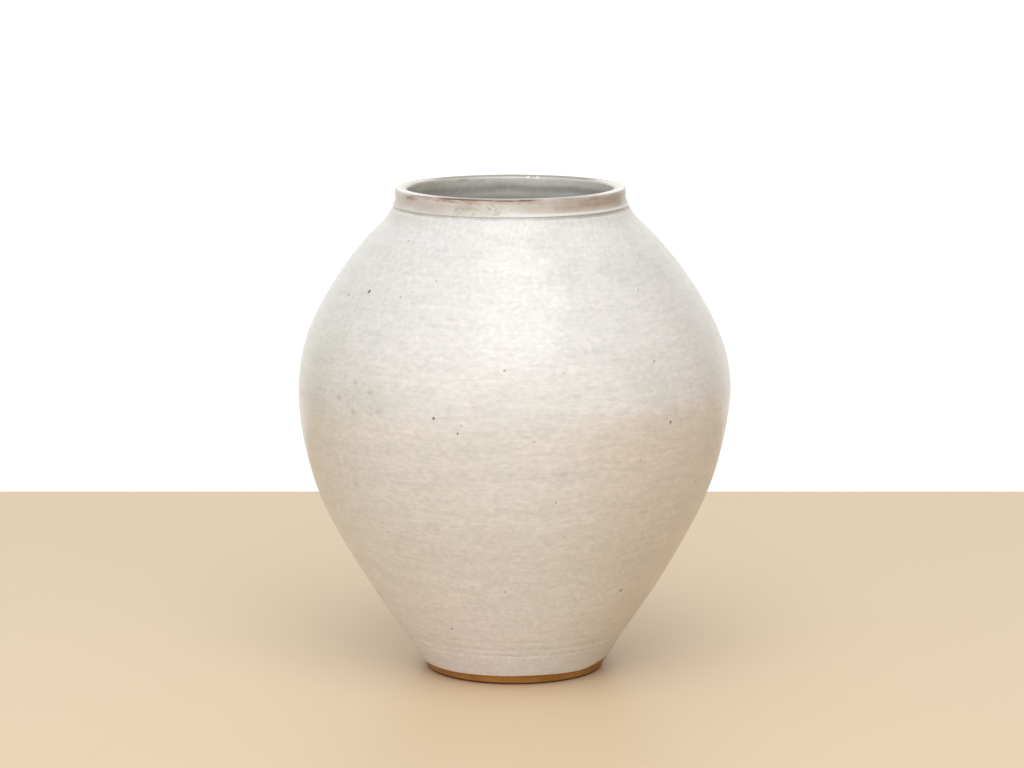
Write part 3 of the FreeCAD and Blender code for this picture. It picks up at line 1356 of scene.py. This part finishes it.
@dataclass(frozen=True)
class LinerGlaze:
    """The inside coat: the same glaze, thinner and greyer.

    Attributes:
        form: the jar's sizes.
        left_shade_before: how far towards -X the coat has an olive painted shade, and light_beyond how
        far towards +X it has painted light.
        rim_highlight_beyond: how far towards +X the rim has a painted highlight, and top_highlight_from
        how far aside its top has one.
    """

    form: JarForm
    grey: Colour = (0.52, 0.525, 0.50)
    # Olive painted shade of the -X side, then painted light of the +X side and of the rim
    left_shade: Colour = (0.42, 0.40, 0.34)
    painted_light: Colour = (0.66, 0.655, 0.625)
    rust: Colour = (0.33, 0.19, 0.12)
    # Painted highlight of the rim and of the top, then painted shade of the top
    painted_highlight: Colour = (0.80, 0.78, 0.73)
    painted_lip_shade: Colour = (0.30, 0.29, 0.25)
    # Colour of the painted shade band in the throat
    shaded: Colour = (0.31, 0.31, 0.28)
    # White of the painted glints on the far rim
    glint_colour: Colour = (0.95, 0.95, 0.93)
    left_shade_before: Span = (10 * MM, -45 * MM)
    light_beyond: Span = (5 * MM, 45 * MM)
    rim_highlight_beyond: Span = (44 * MM, 54 * MM)
    top_highlight_from: Span = (36 * MM, 48 * MM)
    rust_marks: tuple[Mark, ...] = (
        patch(-150, 248.1, 5, 1.4, 0.9),
        patch(-160, 247.6, 5, 0.9, 0.4),
        patch(-126, 247, 6, 1.2, 0.4),
        patch(40, 247.4, 6, 1.2, 0.6),
    )
    # Painted glints: white spots on the far rim's rounding that stand in for highlights
    painted_glints: tuple[Mark, ...] = (
        patch(172, 248.8, 1.6, 0.9, 0.9, 0.4),
        patch(169, 248.3, 1.5, 1.0, 0.9, 0.4),
        patch(166.5, 248.5, 1.9, 1.0, 1.0, 0.4),
    )

    def _middle(self, mark: Mark) -> Vector:
        """The place of a mark's middle on the straight bore."""
        return round_the_jar(mark.azimuth, self.form.mouth_radius, mark.height)

    def material(self) -> bpy.types.Material:
        """The finish as a material.

        Returns:
            The material.
        """
        material, nodes = new_finish("liner_glaze")
        place = nodes.place()
        height = nodes.along("Z", place)
        flat = nodes.vectors("MULTIPLY", place, (1.0, 1.0, 0.0))
        path = height + nodes.length(flat) + nodes.grain(place, 50 * MM) * (5 * MM)
        round_about = nodes.thrown_place(place, path, 8 * MM)
        fine = nodes.grain(round_about, 2 * MM, 3.0)
        mottle = nodes.grain(place, 3 * MM, 3.0)
        cloud = nodes.grain(place, 28 * MM, 2.0)

        # Olive painted shade towards -X and painted light towards +X, where light falls on the inside
        aside = nodes.along("X", place)
        left_shade = nodes.fade(aside + cloud * (60 * MM), *self.left_shade_before)
        colour = nodes.lay(self.grey, self.left_shade, left_shade * 0.85)
        painted_light = nodes.fade(aside + cloud * (40 * MM), *self.light_beyond)
        colour = nodes.lay(colour, self.painted_light, painted_light * 0.9)
        lip = self.form.height
        drawn = height + cloud * (3 * MM)
        # A painted shade band in the throat, a few millimetres under the lip
        pooled_glaze_and_shade = nodes.band(drawn, lip - 8.6 * MM, lip - 5 * MM, 1.6 * MM)
        colour = nodes.lay(colour, self.shaded, pooled_glaze_and_shade * 0.8)
        # Painted light on the top of the bore and below the painted shade band
        over = nodes.fade(drawn, lip - 6 * MM, lip - 2.5 * MM)
        rim = over.or_more(nodes.fade(drawn, lip - 8 * MM, lip - 11 * MM))
        colour = nodes.lay(colour, self.painted_light, rim * (0.6 - left_shade * 0.3))
        uneven = nodes.wandered(place, 4 * MM, 2 * MM)
        rusty = nodes.spots(uneven, self.rust_marks, self._middle)
        colour = nodes.lay(colour, self.rust, rusty * (0.5 + mottle * 1.2))
        # A painted highlight on the rim towards +X
        colour = nodes.lay(colour, self.painted_highlight, nodes.fade(aside, *self.rim_highlight_beyond) * rim * 0.6)
        # The top of the liner: painted shade in front and behind, a painted highlight at the sides
        top = nodes.fade(height, lip - 1.0 * MM, lip - 0.5 * MM)
        beside = nodes.fade(abs(aside), *self.top_highlight_from)
        colour = nodes.lay(colour, nodes.lay(self.painted_lip_shade, self.painted_highlight, beside), top * 0.9)
        colour = nodes.shaded(colour, 1.0 + fine * 0.22 + mottle * 0.16)
        # Painted glints: white spots on the far rim that stand in for highlights of the light
        uneven = nodes.wandered(place, 1.5 * MM, 1.5 * MM)
        glints = nodes.spots(uneven, self.painted_glints, self._middle)
        colour = nodes.lay(colour, self.glint_colour, glints)
        nodes.dress(
            {
                "Base Color": colour,
                "Roughness": 0.25 + mottle * 0.2 + top * 0.3,
                "IOR": 1.5,
                "Coat Weight": 0.5 - top * 0.45,
                "Coat Roughness": 0.1,
            },
            fine * (0.05 * MM) + mottle * (0.02 * MM),
        )
        return material


@dataclass(frozen=True)
class BareClay:
    """Unglazed stoneware that the kiln flashed to a browner tone.

    Attributes:
        name: the finish's name.
        body: the clay's own colour, with flashed, sand and grit_and_contact_shade the colours in it;
        the last is also laid as painted contact shadow near the table.
        roughness: how dull the clay is.
        sand_spacing: how far apart the sand lies, and grit_spacing the grit.
        contact_shade_below: the heights where painted contact shadow darkens the foot by the table,
        down to its resting face, which has none, at unshaded_below.
    """

    name: str
    body: Colour
    flashed: Colour
    sand: Colour
    grit_and_contact_shade: Colour
    roughness: float = 0.8
    sand_spacing: float = 2.6 * MM
    grit_spacing: float = 4.1 * MM
    contact_shade_below: Span = (1.5 * MM, 0.7 * MM)
    unshaded_below: Span = (0.02 * MM, 0.12 * MM)

    def material(self) -> bpy.types.Material:
        """The finish as a material.

        Returns:
            The material.
        """
        material, nodes = new_finish(self.name)
        place = nodes.place()
        flat = nodes.vectors("MULTIPLY", place, (1.0, 1.0, 0.0))
        level = nodes.along("Z", place)
        path = level + nodes.length(flat) + nodes.grain(place, 30 * MM) * (2 * MM)
        round_about = nodes.thrown_place(place, path, 6 * MM)
        turning = nodes.grain(round_about, 1.1 * MM, 3.0)
        cloud = nodes.grain(place, 16 * MM, 2.0)
        tooth = nodes.grain(place, 0.9 * MM, 3.0, 0.65)
        sandy = nodes.fade(nodes.cell_distance(place, self.sand_spacing), 0.2, 0.12)
        gritty = nodes.fade(nodes.cell_distance(place, self.grit_spacing), 0.13, 0.08)

        colour = nodes.lay(self.body, self.flashed, nodes.fade(cloud + turning * 0.4, -0.15, 0.18))
        colour = nodes.lay(colour, self.sand, sandy * 0.5)
        colour = nodes.lay(colour, self.grit_and_contact_shade, gritty * 0.7)
        colour = nodes.shaded(colour, 1.0 + turning * 0.35 + tooth * 0.4)
        # Painted contact shadow on the foot near the table, left off the resting face
        contact_shade = nodes.fade(level, *self.contact_shade_below) * nodes.fade(level, *self.unshaded_below)
        colour = nodes.lay(colour, self.grit_and_contact_shade, contact_shade)
        relief = turning * (0.12 * MM) + tooth * (0.06 * MM)
        relief = relief + sandy * (0.03 * MM) - gritty * (0.06 * MM)
        roughness = self.roughness + tooth * 0.15
        nodes.dress({"Base Color": colour, "Roughness": roughness, "IOR": 1.45}, relief)
        return material


FOOT_CLAY = BareClay(
    name="flashed_foot_clay",
    body=(0.40, 0.19, 0.045),
    flashed=(0.30, 0.13, 0.022),
    sand=(0.50, 0.29, 0.11),
    grit_and_contact_shade=(0.10, 0.04, 0.012),
)
BOWL_CLAY = BareClay(
    name="buff_stoneware",
    body=(0.46, 0.36, 0.26),
    flashed=(0.42, 0.30, 0.20),
    sand=(0.60, 0.52, 0.42),
    grit_and_contact_shade=(0.12, 0.08, 0.05),
)
LUTING_SLIP = BareClay(
    name="luting_slip",
    body=(0.50, 0.42, 0.33),
    flashed=(0.46, 0.38, 0.28),
    sand=(0.56, 0.48, 0.39),
    grit_and_contact_shade=(0.20, 0.15, 0.10),
    roughness=0.7,
)


@dataclass(frozen=True)
class TablePaint:
    """The plain pale top of the table."""

    tint: Colour = (0.72, 0.565, 0.39)

    def material(self) -> bpy.types.Material:
        """The finish as a material.

        Returns:
            The material.
        """
        material, nodes = new_finish("pale_tabletop")
        place = nodes.place()
        soft = nodes.grain(place, 120 * MM, 3.0)
        tooth = nodes.grain(place, 1.5 * MM, 2.0)
        tone = 1.0 + soft * 0.03 + tooth * 0.02
        nodes.dress({"Base Color": nodes.shaded(self.tint, tone), "Roughness": 0.5 + tooth * 0.1})
        return material


@dataclass
class ThrownPiece:
    """A piece thrown on the wheel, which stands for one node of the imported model.

    Attributes:
        NAME: the piece's name, with NODE the node that it replaces and SLOT its material slot.
        CLAY: the clay that it is made of.
        FACETS: how many steps the piece has round the axis.
        CREASE: the angle from which an edge is sharp.
        form: the jar's sizes.
        hand: how the round form was moved.
    """

    NAME: ClassVar[str] = ""
    NODE: ClassVar[str] = ""
    SLOT: ClassVar[Slot]
    CLAY: ClassVar[BareClay] = BOWL_CLAY
    FACETS: ClassVar[int] = 144
    CREASE: ClassVar[float] = math.radians(38.0)

    form: JarForm
    hand: PottersHand

    def section(self) -> Section:
        """The piece's half section."""
        raise NotImplementedError

    def finish(self) -> bpy.types.Material:
        """The piece's material, which is bare clay unless the piece is a coat."""
        return self.CLAY.material()

    def shape(self) -> bmesh.types.BMesh:
        """The thrown section, settled as the hand left it.

        Returns:
            The shape.
        """
        shape = self.section().thrown(self.FACETS)
        for vert in shape.verts:
            vert.co = self.hand.settled(vert.co)
        return shape

    def build(self) -> bpy.types.Object:
        """Makes the piece, dresses it and puts it in its node's place.

        Returns:
            The finished piece.
        """
        shape = self.shape()
        for face in shape.faces:
            face.smooth = True
        for edge in shape.edges:
            edge.smooth = edge.calc_face_angle(0.0) < self.CREASE
        mesh = bpy.data.meshes.new(self.NAME)
        shape.to_mesh(mesh)
        shape.free()
        mesh.materials.append(self.finish())
        piece = bpy.data.objects.new(self.NAME, mesh)
        bpy.context.scene.collection.objects.link(piece)
        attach(piece, "root")
        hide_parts(self.NODE)
        return piece


@dataclass
class TurnedFoot(ThrownPiece):
    """The foot ring: bare clay, turned and left open under the jar."""

    NAME: ClassVar[str] = "turned_foot"
    NODE: ClassVar[str] = "foot_ring"
    SLOT: ClassVar[Slot] = Slot.BARE_CLAY
    CLAY: ClassVar[BareClay] = FOOT_CLAY
    FACETS: ClassVar[int] = 288

    bevel: float = 0.7 * MM
    side_stations: int = 8
    rest_stations: int = 8

    def section(self) -> Section:
        """The piece's half section.

        Returns:
            The section, closed.
        """
        form = self.form
        base = form.foot_top_radius - form.foot_flare
        recess = base - form.foot_rest_width
        section = Section(form.foot_top_radius, form.foot_height)
        section.run(form.recess_top_radius, form.foot_height)
        clear = 2.0 * self.bevel
        part_way = clear / form.foot_height
        section.run(between(recess, form.recess_top_radius, part_way), clear, self.side_stations)
        section.run(recess, 0.0).rounded(self.bevel, 3)
        section.run(base, 0.0, self.rest_stations).rounded(self.bevel, 3)
        section.run(between(base, form.foot_top_radius, part_way), clear)
        return section.run(form.foot_top_radius, form.foot_height, self.side_stations)


@dataclass(frozen=True)
class SeamCut:
    """How the two rims are cut for the luting slip between them."""

    thickness: float = 1 * MM
    angle: float = 30.0
    chamfer_depth: float = 1.4 * MM
    chamfer_half_width: float = 4.5 * MM

    def fall(self, distance: float) -> float:
        """How far the cut falls over a distance outwards."""
        return distance * math.tan(math.radians(self.angle))

    @property
    def half_rise(self) -> float:
        """Half of the slip's height along the axis."""
        return self.thickness / 2.0 / math.cos(math.radians(self.angle))


@dataclass
class SeamedPiece(ThrownPiece):
    """A piece that ends at the waist seam."""

    cut: SeamCut = SeamCut()

    def outer_rim(self, side: int) -> tuple[float, float]:
        """The rim's outer edge, under the glaze.

        Args:
            side: 1 over the slip and -1 under it.

        Returns:
            Its radius and height.
        """
        form = self.form
        height = form.belly_height - self.cut.fall(form.belly_wall) + side * self.cut.half_rise
        return form.clay_outside(height), height

    def throat(self, side: int) -> tuple[float, float]:
        """Where the rim's cut meets its chamfer.

        Args:
            side: 1 over the slip and -1 under it.

        Returns:
            Its radius and height.
        """
        form = self.form
        inner = form.belly_radius - form.glaze - form.belly_wall
        height = form.belly_height - self.cut.fall(self.cut.chamfer_depth) + side * self.cut.half_rise
        return inner + self.cut.chamfer_depth, height

    def inner_rim(self, side: int) -> tuple[float, float]:
        """The rim's inner edge, under the liner, as a radius and a height."""
        height = self.form.belly_height + side * self.cut.chamfer_half_width
        return self.form.clay_inside(height), height


def floor_bend(section: Section, form: JarForm, cover: float, stations: int, going_up: bool) -> None:
    """Draws the bend between the flat floor and the wall inside the jar.

    Args:
        section: what it is drawn on to, from the end where it stands now.
        form: the jar's sizes.
        cover: how deep under the liner glaze's own surface.
        stations: how many points the bend has.
        going_up: whether it runs from the floor to the wall.
    """
    foot = form.wall_foot_height
    edge = Vector((form.floor_flat_radius, 0.0, form.floor_height + form.glaze - cover))
    wall = Vector((form.inside(foot, cover), 0.0, foot))
    step, pull = 0.5 * MM, 0.4
    rise = Vector((form.inside(foot + step, cover) - form.inside(foot, cover), 0.0, step))
    reach = (wall - edge).length * pull
    level, climb = Vector((reach, 0.0, 0.0)), rise.normalized() * reach
    if going_up:
        section.bend(level, wall, climb, stations)
    else:
        section.bend(-climb, edge, -level, stations)


@dataclass
class LowerBowl(SeamedPiece):
    """The lower bowl with its floor, and the ceiling of the hollow under the foot."""

    NAME: ClassVar[str] = "lower_bowl_clay"
    NODE: ClassVar[str] = "lower_bowl"
    SLOT: ClassVar[Slot] = Slot.BODY_CLAY

    outside_stations: int = 70
    inside_stations: int = 60
    floor_stations: int = 10
    edge_round: float = 0.4 * MM
    recess_pull: float = 0.35

    def section(self) -> Section:
        """The piece's half section.

        Returns:
            The section, closed.
        """
        form = self.form
        apex = Vector((0.0, 0.0, form.foot_height + form.recess_crown))
        edge = Vector((form.recess_top_radius, 0.0, form.foot_height))
        level = Vector((edge.x, 0.0, 0.0)) * self.recess_pull
        slope = Vector((edge.x, 0.0, -2.0 * form.recess_crown)) * self.recess_pull
        section = Section(apex.x, apex.z)
        section.bend(level, edge, slope, self.floor_stations)
        outside, inside = form.clay_outside, form.clay_inside
        section.run(outside(form.foot_height), form.foot_height).rounded(self.edge_round, 3)
        section.run(*self.outer_rim(-1), self.outside_stations, outside)
        section.run(*self.throat(-1))
        section.run(*self.inner_rim(-1))
        section.follow(inside, form.wall_foot_height, self.inside_stations)
        floor_bend(section, form, form.glaze, self.floor_stations, going_up=False)
        return section.run(0.0, form.floor_height, self.floor_stations)


@dataclass
class WaistSlip(SeamedPiece):
    """The luting slip between the two bowls, with the bead that it leaves inside."""

    NAME: ClassVar[str] = "waist_slip"
    NODE: ClassVar[str] = "waist_seam"
    SLOT: ClassVar[Slot] = Slot.SEAM_CLAY
    CLAY: ClassVar[BareClay] = LUTING_SLIP

    bead_stations: int = 16

    def section(self) -> Section:
        """The piece's half section.

        Returns:
            The section, closed.
        """
        form = self.form
        section = Section(*self.outer_rim(-1))
        section.run(*self.outer_rim(1), 2)
        section.run(*self.throat(1), 3)
        section.run(*self.inner_rim(1), 2)
        section.run(*self.inner_rim(-1), self.bead_stations, form.clay_inside)
        section.run(*self.throat(-1), 2)
        return section.closed()


@dataclass
class UpperBowl(SeamedPiece):
    """The upper bowl with its shoulder, thrown apart and turned over on the lower one."""

    NAME: ClassVar[str] = "upper_bowl_clay"
    NODE: ClassVar[str] = "upper_bowl"
    SLOT: ClassVar[Slot] = Slot.BODY_CLAY

    outside_stations: int = 60
    inside_stations: int = 60

    def section(self) -> Section:
        """The piece's half section.

        Returns:
            The section, closed.
        """
        form = self.form
        outside, inside = form.clay_outside, form.clay_inside
        section = Section(*self.outer_rim(1))
        section.follow(outside, form.shoulder_height, self.outside_stations)
        section.follow(outside, form.groove_height, 3)
        section.run(inside(form.groove_height), form.groove_height, 2)
        section.run(*self.inner_rim(1), self.inside_stations, inside)
        section.run(*self.throat(1))
        return section.closed()


@dataclass
class Collar(ThrownPiece):
    """The short collar with its hollow flare and rounded lip."""

    NAME: ClassVar[str] = "collar_clay"
    NODE: ClassVar[str] = "mouth_collar"
    SLOT: ClassVar[Slot] = Slot.BODY_CLAY

    def section(self) -> Section:
        """The piece's half section.

        Returns:
            The section, closed.
        """
        form = self.form
        top = form.height - form.glaze
        outside, inside = form.clay_outside, form.clay_inside
        section = Section(outside(form.groove_height), form.groove_height)
        section.follow(outside, form.flare_foot_height, 3)
        section.follow(outside, form.flare_top_height, 7)
        section.run(outside(top), top - 2.0 * form.lip_outer_round, 2)
        section.run(outside(top), top).rounded(form.lip_outer_round - form.glaze, 3)
        section.run(form.crest_radius, top)
        section.run(inside(top), top).rounded(form.lip_inner_round - form.glaze, 3)
        section.follow(inside, form.groove_height, 6)
        return section.closed()


@dataclass
class MilkCoat(ThrownPiece):
    """The outside coat, from its uneven edge over the foot to the crest of the lip.

    Attributes:
        turned_lines: heights of the faint lines that the turning tool left over the foot, each
            line_depth deep. Over foot_zone the coat has no more of them.
        edge_round: the rounding of the coat's lower edge, and edge_sag how far the edge hangs.
        edge_lobes: how often the edge rises and falls round the foot, by edge_lobe_height, with
            one rise at the azimuth edge_lobe_turn.
        edge_side: how much higher the edge lies on the +X side than in front.
        edge_zone: how far up the coat moves with its edge.
    """

    NAME: ClassVar[str] = "milk_glaze_coat"
    NODE: ClassVar[str] = "outer_glaze"
    SLOT: ClassVar[Slot] = Slot.OUTER_GLAZE
    FACETS: ClassVar[int] = 288

    turned_lines: tuple[float, ...] = (17.2 * MM, 20.9 * MM, 25.5 * MM)
    line_depth: float = 0.2 * MM
    line_half_width: float = 0.7 * MM
    foot_zone: float = 30 * MM
    edge_round: float = 0.45 * MM
    edge_sag: float = 0.2 * MM
    edge_lobes: int = 4
    edge_lobe_height: float = 0.35 * MM
    edge_lobe_turn: float = 5.0
    edge_ripple_size: float = 9 * MM
    edge_side: float = 0.5 * MM
    edge_zone: float = 7 * MM
    foot_stations: int = 48
    body_stations: int = 120
    flare_stations: int = 7
    under_stations: int = 46

    def _surface(self, height: float) -> float:
        """The coat's outside, with the turning tool's lines.

        Args:
            height: where it is taken.

        Returns:
            The radius there.
        """
        lines = sum(
            math.exp(-(((height - line) / self.line_half_width) ** 2)) for line in self.turned_lines
        )
        return self.form.outside(height) - self.line_depth * lines

    def section(self) -> Section:
        """The piece's half section.

        Returns:
            The section, closed.
        """
        form = self.form
        under = form.clay_outside
        top, under_top = form.height, form.height - form.glaze
        section = Section(form.foot_top_radius, form.foot_height)
        section.run(form.skirt_radius, form.foot_height).rounded(self.edge_round, 4)
        section.follow(self._surface, self.foot_zone, self.foot_stations)
        section.follow(self._surface, form.shoulder_height, self.body_stations)
        section.follow(form.outside, form.flare_foot_height, self.flare_stations)
        section.follow(form.outside, form.flare_top_height, self.flare_stations + 1)
        section.run(form.collar_radius, top - 2.0 * form.lip_outer_round, 3)
        section.run(form.collar_radius, top).rounded(form.lip_outer_round, 6)
        section.run(form.crest_radius, top)
        section.run(form.crest_radius, under_top)
        section.run(under(under_top), under_top).rounded(form.lip_outer_round - form.glaze, 3)
        section.run(under(form.flare_top_height), form.flare_top_height, 2)
        section.follow(under, form.flare_foot_height, 5)
        section.follow(under, form.shoulder_height, 5)
        section.follow(under, form.foot_height + form.glaze, self.under_stations)
        return section.closed()

    def _edge_rise(self, place: Vector) -> float:
        """How far the coat's edge has moved up.

        Args:
            place: a point of the coat before the move.

        Returns:
            The rise there.
        """
        azimuth = math.atan2(place.x, -place.y)
        lobes = math.cos(self.edge_lobes * (azimuth - math.radians(self.edge_lobe_turn)))
        ripple = noise.noise(place / self.edge_ripple_size)
        return (
            self.edge_lobe_height * (lobes + 0.5 * ripple)
            + self.edge_side * math.sin(azimuth)
            - self.edge_sag
        )

    def shape(self) -> bmesh.types.BMesh:
        """The thrown coat, its lower edge uneven, settled as the hand left it.

        Returns:
            The shape.
        """
        shape = self.section().thrown(self.FACETS)
        form = self.form
        foot_slope = form.foot_flare / form.foot_height
        for vert in shape.verts:
            near = 1.0 - eased((vert.co.z - form.foot_height) / self.edge_zone)
            rise = self._edge_rise(vert.co) * near
            flat = Vector((vert.co.x, vert.co.y, 0.0)).normalized()
            vert.co = self.hand.settled(vert.co + UP * rise + flat * rise * foot_slope)
        return shape

    def finish(self) -> bpy.types.Material:
        """The piece's material."""
        return MilkGlaze(self.form, self.hand).material()


@dataclass
class LinerCoat(ThrownPiece):
    """The inside coat, from the floor up to the crest of the lip, over the throwing rings.

    Attributes:
        ring_depth: depth of the rings, ring_pitch the rise of one, and ring_fade how far under
            the straight bore they fade out.
    """

    NAME: ClassVar[str] = "liner_glaze_coat"
    NODE: ClassVar[str] = "inner_glaze"
    SLOT: ClassVar[Slot] = Slot.INNER_GLAZE
    FACETS: ClassVar[int] = 288

    ring_depth: float = 0.18 * MM
    ring_pitch: float = 8.5 * MM
    ring_fade: float = 20 * MM
    floor_stations: int = 12
    body_stations: int = 110
    throat_stations: int = 14
    under_stations: int = 50

    def _surface(self, height: float) -> float:
        """The coat's surface, with the throwing rings that the fingers left.

        Args:
            height: where it is taken.

        Returns:
            The radius there.
        """
        form = self.form
        fading = eased((form.land_base_height - height) / self.ring_fade)
        ring = (1.0 + math.sin(math.tau * height / self.ring_pitch)) / 2.0
        return form.inside(height) - self.ring_depth * ring * fading

    def section(self) -> Section:
        """The piece's half section.

        Returns:
            The section, closed.
        """
        form = self.form
        under = form.clay_inside
        foot, top = form.wall_foot_height, form.height
        throat_foot = form.land_base_height - form.throat_height
        floor = form.floor_height + form.glaze
        section = Section(0.0, floor)
        section.run(form.floor_flat_radius, floor, self.floor_stations)
        floor_bend(section, form, 0.0, self.floor_stations, going_up=True)
        section.run(form.inside(throat_foot), throat_foot, self.body_stations, self._surface)
        section.run(form.mouth_radius, form.land_base_height, self.throat_stations, self._surface)
        section.run(form.mouth_radius, top - 2.0 * form.lip_inner_round, 4)
        section.run(form.mouth_radius, top).rounded(form.lip_inner_round, 6)
        section.run(form.crest_radius, top)
        section.run(form.crest_radius, top - form.glaze)
        section.run(under(top), top - form.glaze).rounded(form.lip_inner_round - form.glaze, 3)
        section.run(under(form.land_base_height), form.land_base_height, 2)
        section.follow(under, throat_foot, 6)
        section.follow(under, foot, self.under_stations)
        floor_bend(section, form, form.glaze, 6, going_up=False)
        return section.run(0.0, form.floor_height, 4)

    def finish(self) -> bpy.types.Material:
        """The piece's material."""
        return LinerGlaze(self.form).material()


@dataclass(frozen=True)
class SoftLamp:
    """A broad lamp that shines at the middle of the jar.

    Attributes:
        name: the lamp's name.
        azimuth: where it hangs round the jar, with elevation and distance from the jar's middle.
        width: its size from side to side, and depth the other way.
        power: its strength in watts.
        aim: the height that it shines at.
    """

    name: str
    azimuth: float
    elevation: float
    distance: float
    width: float
    depth: float
    power: float
    aim: float = 150 * MM

    def hang(self) -> None:
        """Hangs the lamp."""
        light = bpy.data.lights.new(self.name, "AREA")
        light.shape = "ELLIPSE"
        light.size, light.size_y = self.width, self.depth
        light.energy = self.power
        lamp = bpy.data.objects.new(self.name, light)
        rise = math.radians(self.elevation)
        towards = round_the_jar(self.azimuth, math.cos(rise), math.sin(rise))
        lamp.location = towards * self.distance + UP * self.aim
        lamp.rotation_euler = towards.to_track_quat("Z", "Y").to_euler()
        bpy.context.scene.collection.objects.link(lamp)


@dataclass
class Studio:
    """A plain pale tabletop, soft light and the camera.

    Attributes:
        lens: the camera's focal length in millimetres.
        camera_side: the camera's X, camera_distance how far in front of the axis it stands,
            camera_height how high, and camera_pitch how far it looks down in degrees.
        table_back: how far behind the axis the tabletop ends.
        table_round: the rounding of its edges.
        wall_air: the light of the room behind the jar, and left_air, right_air, front_air and
            ceiling_air that of its other sides. low_tint warms the sides near the table.
        sides: where on X the left light gives way to the right one, wall and front where on Y
            the light from behind and from the front set in, and ceiling, near_table and
            under_table where on Z that from above and the warm tint do.
    """

    lens: float = 125.9
    camera_side: float = -1.35 * MM
    camera_distance: float = 1.8179
    camera_height: float = 0.4515
    camera_pitch: float = 9.487
    table_back: float = 0.462
    table_front: float = 3.0
    table_half_width: float = 3.0
    table_thickness: float = 0.03
    table_round: float = 1 * MM
    wall_air: Colour = (1.12, 1.12, 1.08)
    left_air: Colour = (0.58, 0.58, 0.56)
    right_air: Colour = (0.24, 0.185, 0.11)
    front_air: Colour = (1.33, 1.3, 1.27)
    ceiling_air: Colour = (0.78, 0.78, 0.77)
    low_tint: Colour = (0.57, 0.33, 0.175)
    sides: Span = (-0.6, 0.6)
    wall: Span = (0.45, 0.92)
    front: Span = (-0.25, -0.85)
    ceiling: Span = (0.25, 0.95)
    near_table: Span = (0.6, 0.1)
    under_table: Span = (0.03, -0.1)
    lamps: tuple[SoftLamp, ...] = (
        SoftLamp("high_lamp", azimuth=4.0, elevation=55.0, distance=2.2, width=1.9, depth=2.2, power=22.0),
        SoftLamp("low_lamp", azimuth=-14.0, elevation=25.0, distance=2.2, width=0.6, depth=0.8, power=1.2),
    )

    def stand_camera(self) -> None:
        """Makes the camera, at the height and angle of the photograph."""
        camera = bpy.data.objects.new("camera", bpy.data.cameras.new("camera"))
        camera.data.lens = self.lens
        camera.location = (self.camera_side, -self.camera_distance, self.camera_height)
        camera.rotation_euler = (math.radians(90.0 - self.camera_pitch), 0.0, 0.0)
        bpy.context.scene.collection.objects.link(camera)
        bpy.context.scene.camera = camera

    def lay_table(self) -> bpy.types.Object:
        """Lays the tabletop, level with the jar's foot.

        Returns:
            The tabletop.
        """
        shape = bmesh.new()
        bmesh.ops.create_cube(shape, size=1.0)
        depth = self.table_back + self.table_front
        size = Vector((2.0 * self.table_half_width, depth, self.table_thickness))
        bmesh.ops.scale(shape, vec=size, verts=shape.verts[:])
        middle = Vector((0.0, self.table_back - depth / 2.0, -self.table_thickness / 2.0))
        bmesh.ops.translate(shape, vec=middle, verts=shape.verts[:])
        round_off(shape, shape.edges[:], self.table_round, 3)
        mesh = bpy.data.meshes.new("tabletop")
        shape.to_mesh(mesh)
        shape.free()
        mesh.materials.append(TablePaint().material())
        table = bpy.data.objects.new("tabletop", mesh)
        bpy.context.scene.collection.objects.link(table)
        return table

    def hang_lights(self) -> None:
        """Fills the room with soft white light and hangs the lamps."""
        world = bpy.data.worlds.new("soft_white_air")
        world.use_nodes = True
        air = FinishNodes(world.node_tree, "ShaderNodeBackground", "ShaderNodeOutputWorld")
        way = air.place("Generated")
        backwards = air.along("Y", way)
        upwards = air.along("Z", way)
        sideways = air.fade(air.along("X", way), *self.sides)
        room = air.lay(self.left_air, self.right_air, sideways)
        low = air.fade(upwards, *self.near_table) * (0.3 + sideways * 0.7)
        low = low.or_more(air.fade(upwards, *self.under_table))
        room = air.lay(room, self.low_tint, low, Laid.AS_STAIN)
        room = air.lay(room, self.front_air, air.fade(backwards, *self.front))
        room = air.lay(room, self.ceiling_air, air.fade(upwards, *self.ceiling))
        room = air.lay(room, self.wall_air, air.fade(backwards, *self.wall))
        air.dress({"Color": room})
        bpy.context.scene.world = world
        for lamp in self.lamps:
            lamp.hang()

    def set_up(self) -> None:
        """Readies the camera, the table, the light and the plain colour rendering."""
        self.stand_camera()
        self.lay_table()
        self.hang_lights()
        bpy.context.scene.view_settings.view_transform = "Standard"


def main() -> None:
    """Builds the jar piece by piece, from the foot up, and then its studio."""
    logging.basicConfig(level=logging.INFO, format="%(message)s")
    form, hand = JarForm.from_frame(), PottersHand()
    for make in (TurnedFoot, LowerBowl, WaistSlip, UpperBowl, Collar, MilkCoat, LinerCoat):
        piece = make(form, hand).build()
        triangles = sum(len(face.vertices) - 2 for face in piece.data.polygons)
        log.info("%s: %d triangles, for node %s", piece.name, triangles, make.NODE)
    Studio().set_up()


if __name__ == "__main__":
    main()
